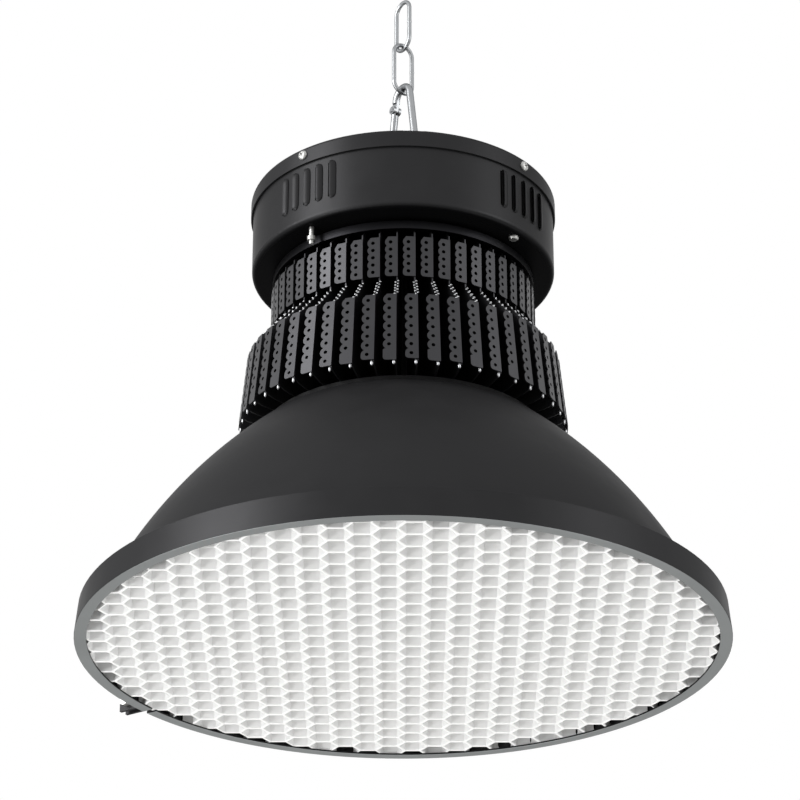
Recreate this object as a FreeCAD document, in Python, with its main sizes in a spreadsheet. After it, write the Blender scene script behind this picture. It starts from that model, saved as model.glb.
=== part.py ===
import FreeCAD, Part
import math
import os
from types import SimpleNamespace

import Sketcher

# A high bay light that hangs from two chain links and a spring snap hook.
#
# Frame: +Z up, millimetres. The origin is where the upper link rests on its ceiling
# hook, inside the link's top bend. The lamp hangs below it, about the Z axis.

# Driving sizes: alias, number in millimetres or degrees, what it is.
SIZES = (
    # Suspension
    ("link_wire", 3.5, "chain link wire diameter"),
    ("link_width", 21.8, "chain link outside width"),
    ("link_length", 49.8, "chain link outside length"),
    ("chain_turn", 36.0, "turn of the lower link and the eye about Z"),
    ("hang_gap", 0.3, "space left where two hanging pieces bear on each other"),
    ("hook_wire", 6.0, "snap hook wire diameter"),
    ("hook_length", 83.6, "snap hook outside length"),
    ("hook_top_width", 25.0, "snap hook outside width at its narrow bend"),
    ("hook_bow_width", 40.0, "snap hook outside width at its wide bend"),
    ("gate_drop", 9.5, "gate hinge down the leg from the narrow bend"),
    ("gate_length", 33.0, "gate from its hinge to its free end"),
    ("gate_gap", 0.5, "space between the gate's free end and the nose"),
    ("tongue_thickness", 2.4, "flattened end of the hook inside the gate's fork"),
    ("fork_gap", 0.15, "side clearance of the gate's fork on the tongue and the rivet heads"),
    ("knuckle_width", 7.4, "gate fork across its ears"),
    ("knuckle_radius", 3.6, "round of the gate's ears"),
    ("rivet_radius", 1.25, "gate rivet shank radius"),
    ("rivet_head", 2.3, "gate rivet head radius"),
    ("rivet_head_height", 0.9, "gate rivet head thickness"),
    ("running_gap", 0.05, "radial clearance of the gate on its rivet"),
    ("eye_wire", 8.0, "eye bolt ring section diameter"),
    ("eye_hole", 18.0, "eye bolt ring inside diameter"),
    ("eye_stem", 14.1, "eye bolt from its ring down to the lid"),
    ("eye_collar", 11.0, "eye bolt collar radius"),
    ("eye_collar_height", 4.0, "eye bolt collar thickness"),
    ("eye_shank", 5.0, "eye bolt thread radius"),
    ("eye_shank_length", 17.0, "eye bolt thread below the lid's top"),
    ("washer_radius", 15.0, "eye bolt washer radius"),
    ("washer_thickness", 2.5, "eye bolt washer thickness"),
    ("eye_nut_flats", 17.0, "eye bolt nut across flats"),
    ("eye_nut_height", 8.0, "eye bolt nut height"),
    ("hole_gap", 0.3, "radial clearance of a screw or stem in its hole"),
    # Driver housing
    ("can_radius", 121.9, "driver can outside radius"),
    ("can_height", 65.7, "driver can height to its rim"),
    ("can_rim_gap", 0.5, "the can's rim under the lid, clear of the lid's inner round"),
    ("can_wall", 1.2, "driver can sheet thickness"),
    ("can_edge", 4.0, "outside round at the can's lower edge"),
    ("lid_gap", 0.65, "clearance of the lid's skirt on the can"),
    ("lid_wall", 1.2, "lid sheet thickness"),
    ("lid_depth", 14.9, "lid height over its skirt"),
    ("lid_edge", 3.0, "outside round at the lid's top edge"),
    ("side_turn", 50.5, "turn of the vents and side screws about Z"),
    ("side_count", 4, "vent groups and side screws round the can"),
    ("vent_width", 2.2, "width of a vent slot"),
    ("vent_height", 31.0, "height of a vent slot"),
    ("vent_pitch", 11.9, "spacing of the slots in a group"),
    ("vent_above_floor", 31.4, "slot centre above the can's floor"),
    ("screw_radius", 2.0, "M4 screw thread radius"),
    ("screw_head", 4.0, "M4 screw head radius"),
    ("screw_head_height", 2.6, "M4 screw head height"),
    ("screw_length", 9.0, "M4 screw length under the head"),
    ("tray_gap", 3.7, "space between the driver tray and the can's wall"),
    ("tray_thickness", 1.5, "driver tray thickness"),
    ("tray_screw_inset", 9.4, "tray screws in from the can's outside"),
    ("earth_drop", 15.0, "earth stud below the can's floor"),
    ("nut_flats", 7.0, "M4 nut across flats"),
    ("nut_height", 3.2, "M4 nut height"),
    ("wire_hole", 9.0, "radius of the wire passage on the axis"),
    ("grommet_wall", 2.0, "rubber grommet thickness round the wires"),
    ("grommet_lip", 2.0, "overhang of the grommet's lips"),
    ("driver_width", 140.0, "LED driver length"),
    ("driver_depth", 54.0, "LED driver width"),
    ("driver_height", 37.0, "LED driver height"),
    ("driver_back", 34.0, "LED driver set back from the axis"),
    ("driver_ear", 10.0, "length of the driver's screw ears"),
    ("driver_ear_thickness", 2.0, "thickness of the driver's screw ears"),
    ("block_width", 40.0, "terminal block length"),
    ("block_depth", 18.0, "terminal block width"),
    ("block_height", 16.0, "terminal block height"),
    ("block_pitch", 12.0, "spacing of the terminals"),
    ("gland_circle", 70.0, "cable gland distance from the axis"),
    ("gland_thread", 10.0, "cable gland thread radius"),
    ("gland_bore", 5.0, "cable gland cable hole radius"),
    ("gland_flats", 24.0, "cable gland hexagon across flats"),
    ("gland_base", 6.0, "cable gland hexagon height"),
    ("gland_stem", 9.0, "cable gland thread above its hexagon"),
    ("gland_tail", 8.0, "cable gland thread below the lid's top"),
    ("gland_cap_height", 14.0, "cable gland cap nut height"),
    ("gland_lock_height", 4.5, "cable gland lock nut height"),
    ("seal_wall", 2.5, "cable seal thickness round the cable hole"),
    # Heat sink
    ("spacer_height", 4.0, "gap between the can and the heat sink"),
    ("spacer_radius", 6.0, "spacer radius"),
    ("spacer_circle", 80.0, "radius of the spacers and their screws"),
    ("plate_lap", 0.4, "heat sink top plate past the fins"),
    ("plate_thickness", 6.7, "heat sink top plate thickness"),
    ("core_radius", 42.0, "heat sink core radius"),
    ("fin_count", 48, "cooling fins"),
    ("fin_turn", -2.6, "turn of the fins about Z"),
    ("fin_thickness", 1.0, "fin sheet thickness"),
    ("fin_height", 131.0, "fin height"),
    ("fin_step", 1.0, "fin foot past the foot plate"),
    ("lower_overhang", 15.7, "lower tier past the fin's foot"),
    ("lower_taper", 5.8, "reach lost up the lower tier"),
    ("lower_foot", 4.4, "lower flange start above the base plate"),
    ("lower_head", 63.4, "lower flange end above the base plate"),
    ("lower_flange", 9.8, "lower flange width"),
    ("can_overhang", 17.3, "driver can past the upper tier"),
    ("upper_foot", 85.4, "upper tier start above the base plate"),
    ("flange_inset", 3.0, "upper flange start above its tier's foot"),
    ("upper_flange_length", 35.0, "upper flange length"),
    ("upper_flange", 9.3, "upper flange width"),
    ("fin_foot_round", 20.0, "round under the lower tier"),
    ("fin_corner", 3.6, "slanted corner at the fin's head"),
    ("foot_step", 3.0, "heat sink foot plate inside the shade's neck"),
    ("base_thickness", 4.0, "heat sink foot plate thickness"),
    ("core_screw_circle", 28.0, "radius of the screws from the top plate into the core"),
    # Light source
    ("board_gap", 4.0, "LED board inside the shade's neck opening"),
    ("board_thickness", 2.0, "LED board thickness"),
    ("board_screw_inset", 8.0, "LED board screws in from its edge"),
    ("chip_side", 28.0, "LED array side"),
    ("chip_height", 1.5, "LED array thickness"),
    ("chip_circle", 32.0, "radius of the LED array centres"),
    # Shade and louvre
    ("shade_height", 152.9, "shade from its flange to its neck"),
    ("shade_wall", 1.5, "shade sheet thickness"),
    ("shade_curve", 416.0, "radius of the shade's outside curve"),
    ("neck_radius", 115.0, "shade outside radius at its neck"),
    ("neck_hole", 82.0, "shade opening round the LED board"),
    ("neck_screw_inset", 16.0, "shade screws out from the neck opening"),
    ("neck_screw_count", 6, "shade screws"),
    ("shade_flange_width", 12.5, "width of the shade's flange"),
    ("rim_gap", 0.7, "shade flange inside the hoop"),
    ("gasket_thickness", 2.0, "lens gasket thickness"),
    ("gasket_width", 9.0, "lens gasket width"),
    ("glass_thickness", 4.0, "glass lens thickness"),
    ("glass_gap", 0.5, "glass lens inside the hoop"),
    ("cell_side", 12.3, "side of a honeycomb cell, between wall centres"),
    ("cell_wall", 1.6, "honeycomb wall thickness"),
    ("cell_depth", 12.5, "honeycomb depth"),
    ("comb_gap", 0.2, "honeycomb corners inside the hoop"),
    ("comb_shift", 7.8, "middle cell off the axis along X"),
    ("comb_setback", 10.65, "middle cell off the axis along Y"),
    # Clamp hoop
    ("rim_radius", 250.0, "hoop outside radius at the mouth"),
    ("hoop_draft", 2.1, "hoop radius lost between its mouth and its top"),
    ("hoop_wall", 1.2, "hoop sheet thickness"),
    ("hoop_flange", 9.5, "width of the hoop's lower flange"),
    ("hoop_lip", 3.0, "hoop's upper lip over the shade's flange"),
    ("hoop_turn", 146.0, "turn of the hoop's split about Z"),
    ("hoop_split", 5.0, "gap between the hoop's ends"),
    ("ear_thickness", 2.5, "hoop ear thickness"),
    ("ear_reach", 22.0, "hoop ear outside the hoop"),
    ("ear_margin", 3.5, "hoop ear clear of the hoop's edges"),
    ("hoop_screw", 2.5, "hoop screw thread radius"),
    ("hoop_screw_head", 4.4, "hoop screw head radius"),
    ("hoop_screw_head_height", 5.0, "hoop screw head height"),
    ("hoop_screw_spare", 5.0, "hoop screw past its nut"),
    ("hoop_nut_flats", 8.0, "hoop nut across flats"),
    ("hoop_nut_height", 4.7, "hoop nut height"),
)


class Size:
    """A number and the spreadsheet formula that gives it."""

    def __init__(self, value, formula):
        self.value = value
        self.formula = formula

    def _with(self, other, sign, value):
        return Size(value, f"({self.formula} {sign} {other.formula})")

    def __add__(self, other):
        other = sized(other)
        return self._with(other, "+", self.value + other.value)

    def __sub__(self, other):
        other = sized(other)
        return self._with(other, "-", self.value - other.value)

    def __mul__(self, other):
        other = sized(other)
        return self._with(other, "*", self.value * other.value)

    def __truediv__(self, other):
        other = sized(other)
        return self._with(other, "/", self.value / other.value)

    def __neg__(self):
        return Size(-self.value, f"(0 - {self.formula})")

    def root(self):
        """The square root."""
        return Size(math.sqrt(self.value), f"sqrt({self.formula})")


def sized(number):
    """A plain number as a Size."""
    return number if isinstance(number, Size) else Size(float(number), str(float(number)))


def fill_sheet(doc):
    """Write SIZES into a spreadsheet and return its cells as Size values by alias."""
    sheet = doc.addObject("Spreadsheet::Sheet", "sizes")
    for row, (alias, number, note) in enumerate(SIZES, start=1):
        sheet.set(f"A{row}", alias)
        sheet.set(f"B{row}", str(number))
        sheet.setAlias(f"B{row}", alias)
        sheet.set(f"C{row}", note)
    doc.recompute()
    cells = {alias: Size(float(sheet.get(alias)), f"sizes.{alias}") for alias, _, _ in SIZES}
    return SimpleNamespace(**cells)


doc = FreeCAD.newDocument("high_bay_light")
s = fill_sheet(doc)
nodes = []


# ---------------------------------------------------------------- drawing and features


class Drawing:
    """A sketch on one of its body's own planes, each point tied to the sheet."""

    def __init__(self, body, name, plane="XZ_Plane", lift=None):
        self.sketch = body.newObject("Sketcher::SketchObject", name)
        origin = next(f for f in body.Origin.OriginFeatures if f.Role == plane)
        self.sketch.AttachmentSupport = [(origin, "")]
        self.sketch.MapMode = "FlatFace"
        if lift is not None:
            self.sketch.AttachmentOffset = FreeCAD.Placement(
                FreeCAD.Vector(0, 0, lift.value), FreeCAD.Rotation()
            )
            self.sketch.setExpression("AttachmentOffset.Base.z", lift.formula)

    def tie(self, kind, geometry, point, size):
        """Hold one coordinate of a point at a size from the sketch's origin."""
        if size.value == 0:
            axis = -2 if kind == "DistanceX" else -1
            self.sketch.addConstraint(Sketcher.Constraint("PointOnObject", geometry, point, axis))
            return
        if size.value > 0:
            ends = (-1, 1, geometry, point)
        else:
            ends = (geometry, point, -1, 1)
            size = -size
        index = self.sketch.addConstraint(Sketcher.Constraint(kind, *ends, size.value))
        self.sketch.setExpression(f"Constraints[{index}]", size.formula)

    def tie_radius(self, geometry, size):
        index = self.sketch.addConstraint(Sketcher.Constraint("Radius", geometry, size.value))
        self.sketch.setExpression(f"Constraints[{index}]", size.formula)

    def circle(self, x, y, radius):
        """Draw a full circle and return its index."""
        x, y = sized(x), sized(y)
        centre = FreeCAD.Vector(x.value, y.value, 0)
        shape = Part.Circle(centre, FreeCAD.Vector(0, 0, 1), radius.value)
        geometry = self.sketch.addGeometry(shape)
        self.tie_radius(geometry, radius)
        if x.value == 0 and y.value == 0:
            self.sketch.addConstraint(Sketcher.Constraint("Coincident", geometry, 3, -1, 1))
        else:
            self.tie("DistanceX", geometry, 3, x)
            self.tie("DistanceY", geometry, 3, y)
        return geometry

    def outline(self, corners, closed=True):
        """Draw edges through corners and return their indexes.

        A corner is (x, y), reached by a line, or (x, y, radius), reached by an arc of
        at most half a turn: a positive radius turns left and a negative one right.
        """
        points = [(sized(corner[0]), sized(corner[1])) for corner in corners]
        steps = list(range(1, len(corners))) + ([0] if closed else [])
        edges = []
        previous = 0
        for step in steps:
            start = FreeCAD.Vector(points[previous][0].value, points[previous][1].value, 0)
            end = FreeCAD.Vector(points[step][0].value, points[step][1].value, 0)
            bend = corners[step][2:]
            if bend:
                shape, forward = arc_between(start, end, bend[0].value)
            else:
                shape, forward = Part.LineSegment(start, end), True
            geometry = self.sketch.addGeometry(shape)
            chord = end.sub(start)
            if bend and abs(chord.Length - 2 * abs(bend[0].value)) < 1e-6:
                kind, axis = ("DistanceY", 1) if abs(chord.x) > abs(chord.y) else ("DistanceX", 0)
                middle = (points[previous][axis] + points[step][axis]) / 2
                self.tie(kind, geometry, 3, middle)
            elif bend:
                self.tie_radius(geometry, bend[0] if bend[0].value > 0 else -bend[0])
            edges.append((geometry, 1 if forward else 2, 2 if forward else 1, step))
            previous = step
        joints = zip(edges, edges[1:] + edges[:1]) if closed else zip(edges, edges[1:])
        for (first, _, tail, _), (second, head, _, _) in joints:
            self.sketch.addConstraint(Sketcher.Constraint("Coincident", first, tail, second, head))
        for geometry, _, tail, step in edges:
            self.tie("DistanceX", geometry, tail, points[step][0])
            self.tie("DistanceY", geometry, tail, points[step][1])
        if not closed:
            self.tie("DistanceX", edges[0][0], edges[0][1], points[0][0])
            self.tie("DistanceY", edges[0][0], edges[0][1], points[0][1])
        return [edge[0] for edge in edges]

    def slot(self, x, y, width, height):
        """Draw an upright slot with round ends about a centre."""
        half = width / 2
        straight = height / 2 - half
        self.outline(
            [
                (x - half, y - straight),
                (x + half, y - straight, half),
                (x + half, y + straight),
                (x - half, y + straight, half),
            ]
        )

    def hexagon(self, flats):
        """Draw a hexagon about the origin, with two corners on the X axis."""
        reach = flats / math.sqrt(3)
        across = flats / 2
        half = reach / 2
        self.outline(
            [(reach, 0), (half, across), (-half, across), (-reach, 0), (-half, -across), (half, -across)]
        )

    def turning_line(self, x0, y0, x1, y1):
        """Draw a construction line and name it as an axis."""
        (geometry,) = self.outline([(x0, y0), (x1, y1)], closed=False)
        self.sketch.toggleConstruction(geometry)
        return "Axis0"


def arc_between(start, end, radius):
    """An arc from start to end, and whether its own sense runs from start to end."""
    left = radius > 0
    size = abs(radius)
    chord = end.sub(start)
    middle = start.add(end).multiply(0.5)
    rise = math.sqrt(max(size**2 - (chord.Length / 2) ** 2, 0))
    normal = FreeCAD.Vector(-chord.y, chord.x, 0).normalize()
    centre = middle.add(normal.multiply(rise if left else -rise))
    circle = Part.Circle(centre, FreeCAD.Vector(0, 0, 1), size)
    first, last = (start, end) if left else (end, start)
    angles = [math.atan2(point.y - centre.y, point.x - centre.x) for point in (first, last)]
    if angles[1] <= angles[0]:
        angles[1] += 2 * math.pi
    return Part.ArcOfCircle(circle, *angles), left


def place(thing, x=0, y=0, z=0, turn=None):
    """Put an object in the frame, its place and its turn about Z tied to the sheet."""
    spots = {"x": sized(x), "y": sized(y), "z": sized(z)}
    turned = FreeCAD.Rotation(FreeCAD.Vector(0, 0, 1), turn.value if turn else 0)
    thing.Placement = FreeCAD.Placement(
        FreeCAD.Vector(*(spot.value for spot in spots.values())), turned
    )
    for letter, spot in spots.items():
        thing.setExpression(f"Placement.Base.{letter}", spot.formula)
    if turn:
        thing.setExpression("Placement.Rotation.Angle", turn.formula)


def new_body(label, **where):
    """Start a sub-part whose label names its file."""
    body = doc.addObject("PartDesign::Body", label)
    body.Label = label
    place(body, **where)
    nodes.append(body)
    return body


def spin(body, drawing, axis="V_Axis"):
    """Revolve a sketch a full turn."""
    feature = body.newObject("PartDesign::Revolution", drawing.sketch.Name + "_spun")
    feature.Profile = drawing.sketch
    feature.ReferenceAxis = (drawing.sketch, [axis])
    feature.Angle = 360
    return feature


def pad(body, drawing, length, both=False, back=False):
    """Extrude a sketch forwards, backwards or both ways."""
    feature = body.newObject("PartDesign::Pad", drawing.sketch.Name + "_pad")
    feature.Profile = drawing.sketch
    feature.setExpression("Length", sized(length).formula)
    feature.Midplane = both
    feature.Reversed = back
    return feature


def pocket(body, drawing, length, both=False, back=False):
    """Cut a sketch out of the body."""
    feature = body.newObject("PartDesign::Pocket", drawing.sketch.Name + "_cut")
    feature.Profile = drawing.sketch
    feature.setExpression("Length", sized(length).formula)
    feature.Midplane = both
    feature.Reversed = back
    return feature


def pipe(body, profile, path, name):
    """Sweep a section along an open or closed path."""
    feature = body.newObject("PartDesign::AdditivePipe", name)
    feature.Profile = profile.sketch
    feature.Spine = path.sketch
    return feature


def around(body, features, count):
    """Repeat features evenly about the body's Z axis."""
    pattern = body.newObject("PartDesign::PolarPattern", features[0].Name + "_ring")
    pattern.Originals = features
    axis = next(f for f in body.Origin.OriginFeatures if f.Role == "Z_Axis")
    pattern.Axis = (axis, [""])
    pattern.Angle = 360
    pattern.setExpression("Occurrences", count.formula)
    body.Tip = pattern
    return pattern


def ring_of_holes(body, name, circle, radius, count, depth, lift):
    """Cut round holes down through a plate, evenly about its axis."""
    holes = Drawing(body, name, "XY_Plane", lift)
    holes.circle(circle, 0, radius)
    return around(body, [pocket(body, holes, depth)], count)


def washer(label, outer, inner, height, **where):
    """A flat round piece with a round hole."""
    body = new_body(label, **where)
    section = Drawing(body, label + "_section")
    section.outline([(inner, 0), (outer, 0), (outer, height), (inner, height)])
    spin(body, section)
    return body


def upright_screw(body, name, circle, seat, head_up, length, head, head_height, radius):
    """A screw parallel to Z at a distance from it, its head's seat at a given height."""
    way = 1 if head_up else -1
    section = Drawing(body, name)
    section.outline(
        [
            (circle, seat + head_height * way),
            (circle + head * 0.75, seat + head_height * way),
            (circle + head, seat + head_height * 0.5 * way),
            (circle + head, seat),
            (circle + radius, seat),
            (circle + radius, seat - length * way),
            (circle, seat - length * way),
        ]
    )
    axis = section.turning_line(circle, seat - length * 2, circle, seat - length * 3)
    return spin(body, section, axis)


# ---------------------------------------------------------------- reaches and heights

tray_radius = s.can_radius - s.can_wall - s.tray_gap
tray_screw_circle = s.can_radius - s.tray_screw_inset
base_radius = s.neck_radius - s.foot_step
fin_root = base_radius + s.fin_step
lower_reach = fin_root + s.lower_overhang
lower_top_reach = lower_reach - s.lower_taper
upper_reach = s.can_radius - s.can_overhang
plate_radius = upper_reach + s.plate_lap
board_radius = s.neck_hole - s.board_gap
board_screw_circle = board_radius - s.board_screw_inset
neck_screw_circle = s.neck_hole + s.neck_screw_inset
hoop_inner = s.rim_radius - s.hoop_draft - s.hoop_wall
shade_flange = hoop_inner - s.rim_gap
mouth_radius = shade_flange - s.shade_flange_width
glass_radius = hoop_inner - s.glass_gap
comb_radius = hoop_inner - s.comb_gap

link_reach = s.link_length - s.link_wire * 2
lower_link_z = -link_reach + s.hang_gap
hook_inner_z = lower_link_z - link_reach + s.hang_gap
hook_top_z = hook_inner_z + s.hook_wire / 2
hook_bow_z = hook_inner_z + s.hook_wire * 1.5 - s.hook_length
eye_top_z = hook_bow_z + s.hook_wire / 2 + s.hang_gap + s.eye_wire / 2
eye_ring = (s.eye_hole + s.eye_wire) / 2
eye_z = eye_top_z - eye_ring
lid_top_z = eye_z - eye_ring - s.eye_wire / 2 - s.eye_stem
lid_z = lid_top_z - s.lid_depth
can_z = lid_top_z - s.lid_wall - s.can_rim_gap - s.can_height
floor_z = can_z + s.can_wall
tray_top_z = floor_z + s.tray_thickness
plate_z = can_z - s.spacer_height - s.plate_thickness
base_top_z = plate_z - s.fin_height
neck_z = base_top_z - s.base_thickness
shade_z = neck_z - s.shade_height
gasket_z = shade_z - s.gasket_thickness
glass_z = gasket_z - s.glass_thickness
comb_z = glass_z - s.cell_depth
rim_z = comb_z - s.hoop_wall
hoop_height = shade_z + s.shade_wall + s.hoop_wall - rim_z
cross_turn = s.chain_turn - 90


# ---------------------------------------------------------------- suspension


def chain_link(label, z, turn):
    """A welded wire link, swept round its long oval, about its own centre."""
    body = new_body(label, z=z - link_reach / 2, turn=turn)
    half_wide = (s.link_width - s.link_wire) / 2
    half_straight = (s.link_length - s.link_wire) / 2 - half_wide
    path = Drawing(body, label + "_path")
    path.outline(
        [
            (half_wide, 0),
            (half_wide, half_straight),
            (-half_wide, half_straight, half_wide),
            (-half_wide, -half_straight),
            (half_wide, -half_straight, half_wide),
        ]
    )
    wire = Drawing(body, label + "_wire", "XY_Plane")
    wire.circle(half_wide, 0, s.link_wire / 2)
    pipe(body, wire, path, label + "_sweep")


chain_link("chain_link_upper", sized(0), cross_turn)
chain_link("chain_link_lower", lower_link_z, s.chain_turn)

# The snap hook is a pear: a narrow bend over a wide one, joined by tangent legs.
# `lean` is the sine of the legs' slant and `upright` its cosine.
top_bend = (s.hook_top_width - s.hook_wire) / 2
bow_bend = (s.hook_bow_width - s.hook_wire) / 2
bends_apart = s.hook_length - s.hook_wire - top_bend - bow_bend
lean = (bow_bend - top_bend) / bends_apart
upright = (sized(1) - lean * lean).root()
hook_z = hook_top_z - top_bend


def down_left_leg(distance, across=0):
    """A point on the gate's leg, from the hook's top bend down, and across it."""
    across = sized(across)
    return (
        -top_bend * upright - lean * distance + upright * across,
        top_bend * lean - upright * distance - lean * across,
    )


def snap_hook():
    """The hook's wire, with a flat tongue for the gate to hinge on."""
    body = new_body("snap_hook", z=hook_z, turn=cross_turn)
    wire = Drawing(body, "hook_wire_section", "YZ_Plane")
    wire.circle(0, -bends_apart - bow_bend, s.hook_wire / 2)
    foot = (0, -bends_apart - bow_bend)
    leg_foot = (bow_bend * upright, -bends_apart + bow_bend * lean)
    stub = s.gate_drop - s.knuckle_radius - s.hook_wire / 2
    back = Drawing(body, "hook_back_path")
    back.outline(
        [
            foot,
            (*leg_foot, bow_bend),
            (top_bend * upright, top_bend * lean),
            (-top_bend * upright, top_bend * lean, top_bend),
            down_left_leg(stub),
        ],
        closed=False,
    )
    pipe(body, wire, back, "hook_back")
    nose = Drawing(body, "hook_nose_path")
    nose.outline(
        [
            foot,
            (-leg_foot[0], leg_foot[1], -bow_bend),
            down_left_leg(s.gate_drop + s.gate_length + s.gate_gap),
        ],
        closed=False,
    )
    pipe(body, wire, nose, "hook_nose")
    tongue = Drawing(body, "hook_tongue")
    half = s.hook_wire / 2
    tongue.outline(
        [
            down_left_leg(stub - half, -half),
            down_left_leg(s.gate_drop, -half),
            (*down_left_leg(s.gate_drop, half), half),
            down_left_leg(stub - half, half),
        ]
    )
    pad(body, tongue, s.tongue_thickness, both=True)
    hole = Drawing(body, "hook_rivet_hole")
    hole.circle(*down_left_leg(s.gate_drop), s.rivet_radius)
    pocket(body, hole, s.hook_wire * 2, both=True)


snap_hook()


def hinge_frame(thing):
    """Put a gate piece's own frame at the hinge, leaning with the hook's leg."""
    x, z = (part.value for part in down_left_leg(s.gate_drop))
    turned = FreeCAD.Rotation(FreeCAD.Vector(0, 0, 1), cross_turn.value)
    leaned = FreeCAD.Rotation(FreeCAD.Vector(0, 1, 0), math.degrees(math.asin(lean.value)))
    spot = turned.multVec(FreeCAD.Vector(x, 0, z)) + FreeCAD.Vector(0, 0, hook_z.value)
    thing.Placement = FreeCAD.Placement(spot, turned * leaned)


def hook_gate():
    """The sprung bar that closes the hook, forked over the tongue."""
    body = doc.addObject("PartDesign::Body", "hook_gate")
    hinge_frame(body)
    nodes.append(body)
    half = s.hook_wire / 2
    bar = Drawing(body, "gate_bar")
    bar.outline([(0, 0), (0, -s.gate_length), (half, -s.gate_length), (half, 0)])
    spin(body, bar)
    knuckle = Drawing(body, "gate_knuckle")
    knuckle.circle(0, 0, s.knuckle_radius)
    pad(body, knuckle, s.knuckle_width, both=True)
    fork = Drawing(body, "gate_fork")
    reach = s.knuckle_radius + 1
    fork.outline([(-reach, -reach), (reach, -reach), (reach, reach), (-reach, reach)])
    pocket(body, fork, s.tongue_thickness + s.fork_gap * 2, both=True)
    hole = Drawing(body, "gate_rivet_hole")
    hole.circle(0, 0, s.rivet_radius + s.running_gap)
    pocket(body, hole, s.knuckle_width * 2, both=True)


hook_gate()


def gate_rivet():
    """The rivet the gate turns on, headed both sides."""
    body = doc.addObject("PartDesign::Body", "gate_rivet")
    hinge_frame(body)
    nodes.append(body)
    half = s.knuckle_width / 2 + s.fork_gap
    end = half + s.rivet_head_height
    section = Drawing(body, "rivet_section", "XY_Plane")
    section.outline(
        [
            (0, -end),
            (s.rivet_head * 0.7, -end),
            (s.rivet_head, -half),
            (s.rivet_radius, -half),
            (s.rivet_radius, half),
            (s.rivet_head, half),
            (s.rivet_head * 0.7, end),
            (0, end),
        ]
    )
    spin(body, section)


gate_rivet()


def eye_bolt():
    """A ring with a collar that bears on the lid and a thread through it."""
    body = new_body("eye_bolt", z=eye_z, turn=s.chain_turn)
    ring = Drawing(body, "eye_ring", "XY_Plane")
    ring.circle(eye_ring, 0, s.eye_wire / 2)
    spin(body, ring)
    stem = Drawing(body, "eye_stem")
    seat = -eye_ring - s.eye_wire / 2 - s.eye_stem
    stem.outline(
        [
            (0, -eye_ring),
            (s.eye_wire / 2, -eye_ring),
            (s.eye_shank + 1, seat + s.eye_collar_height),
            (s.eye_collar, seat + s.eye_collar_height),
            (s.eye_collar, seat),
            (s.eye_shank, seat),
            (s.eye_shank, seat - s.eye_shank_length),
            (0, seat - s.eye_shank_length),
        ]
    )
    spin(body, stem)


eye_bolt()
under_lid_z = lid_top_z - s.lid_wall
washer(
    "eye_bolt_washer",
    s.washer_radius,
    s.eye_shank + s.hole_gap,
    s.washer_thickness,
    z=under_lid_z - s.washer_thickness,
)


def nut(label, flats, hole, height, **where):
    """A plain hexagon nut."""
    body = new_body(label, **where)
    section = Drawing(body, label + "_hexagon", "XY_Plane")
    section.hexagon(flats)
    section.circle(0, 0, hole)
    pad(body, section, height)
    return body


nut(
    "eye_bolt_nut",
    s.eye_nut_flats,
    s.eye_shank,
    s.eye_nut_height,
    z=under_lid_z - s.washer_thickness - s.eye_nut_height,
)


# ---------------------------------------------------------------- driver housing


def driver_lid():
    """A shallow spun cap with a skirt over the can."""
    body = new_body("driver_lid", z=lid_z, turn=s.side_turn)
    inside = s.can_radius + s.lid_gap
    outside = inside + s.lid_wall
    top = s.lid_depth
    inner_edge = s.lid_edge - s.lid_wall
    section = Drawing(body, "lid_section")
    section.outline(
        [
            (inside, 0),
            (outside, 0),
            (outside, top - s.lid_edge),
            (outside - s.lid_edge, top, s.lid_edge),
            (s.eye_shank + s.hole_gap, top),
            (s.eye_shank + s.hole_gap, top - s.lid_wall),
            (inside - inner_edge, top - s.lid_wall),
            (inside, top - s.lid_wall - inner_edge, -inner_edge),
        ]
    )
    spin(body, section)
    side = Drawing(body, "lid_side_hole", "YZ_Plane")
    side.circle(0, s.lid_depth / 2, s.screw_radius + s.hole_gap)
    around(body, [pocket(body, side, outside + 1, back=True)], s.side_count)
    gland = Drawing(body, "lid_gland_hole", "XY_Plane", s.lid_depth)
    gland.circle(0, s.gland_circle, s.gland_thread + s.hole_gap)
    body.Tip = pocket(body, gland, s.lid_wall * 2)


def driver_can():
    """A drawn steel can: rounded floor edge, four groups of vent slots."""
    body = new_body("driver_can", z=can_z, turn=s.side_turn)
    inner = s.can_radius - s.can_wall
    section = Drawing(body, "can_section")
    hole = s.wire_hole + s.grommet_wall
    section.outline(
        [
            (hole, 0),
            (s.can_radius - s.can_edge, 0),
            (s.can_radius, s.can_edge, s.can_edge),
            (s.can_radius, s.can_height),
            (inner, s.can_height),
            (inner, s.can_edge),
            (s.can_radius - s.can_edge, s.can_wall, s.can_wall - s.can_edge),
            (hole, s.can_wall),
        ]
    )
    spin(body, section)
    vents = Drawing(body, "can_vents", "YZ_Plane")
    for place_in_group in (-2, -1, 0, 1, 2):
        vents.slot(s.vent_pitch * place_in_group, s.vent_above_floor, s.vent_width, s.vent_height)
    around(body, [pocket(body, vents, s.can_radius + 1, back=True)], s.side_count)
    side = Drawing(body, "can_side_hole", "YZ_Plane")
    side.circle(0, side_screw_z - can_z, s.screw_radius)
    around(body, [pocket(body, side, s.can_radius + 1, back=True)], s.side_count)
    floor = s.can_wall * 3
    lift = s.can_wall * 2
    ring_of_holes(
        body, "can_tray_holes", tray_screw_circle, s.screw_radius, s.side_count, floor, lift
    )
    ring_of_holes(
        body, "can_spacer_holes", s.spacer_circle, s.screw_radius, s.side_count, floor, lift
    )


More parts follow.
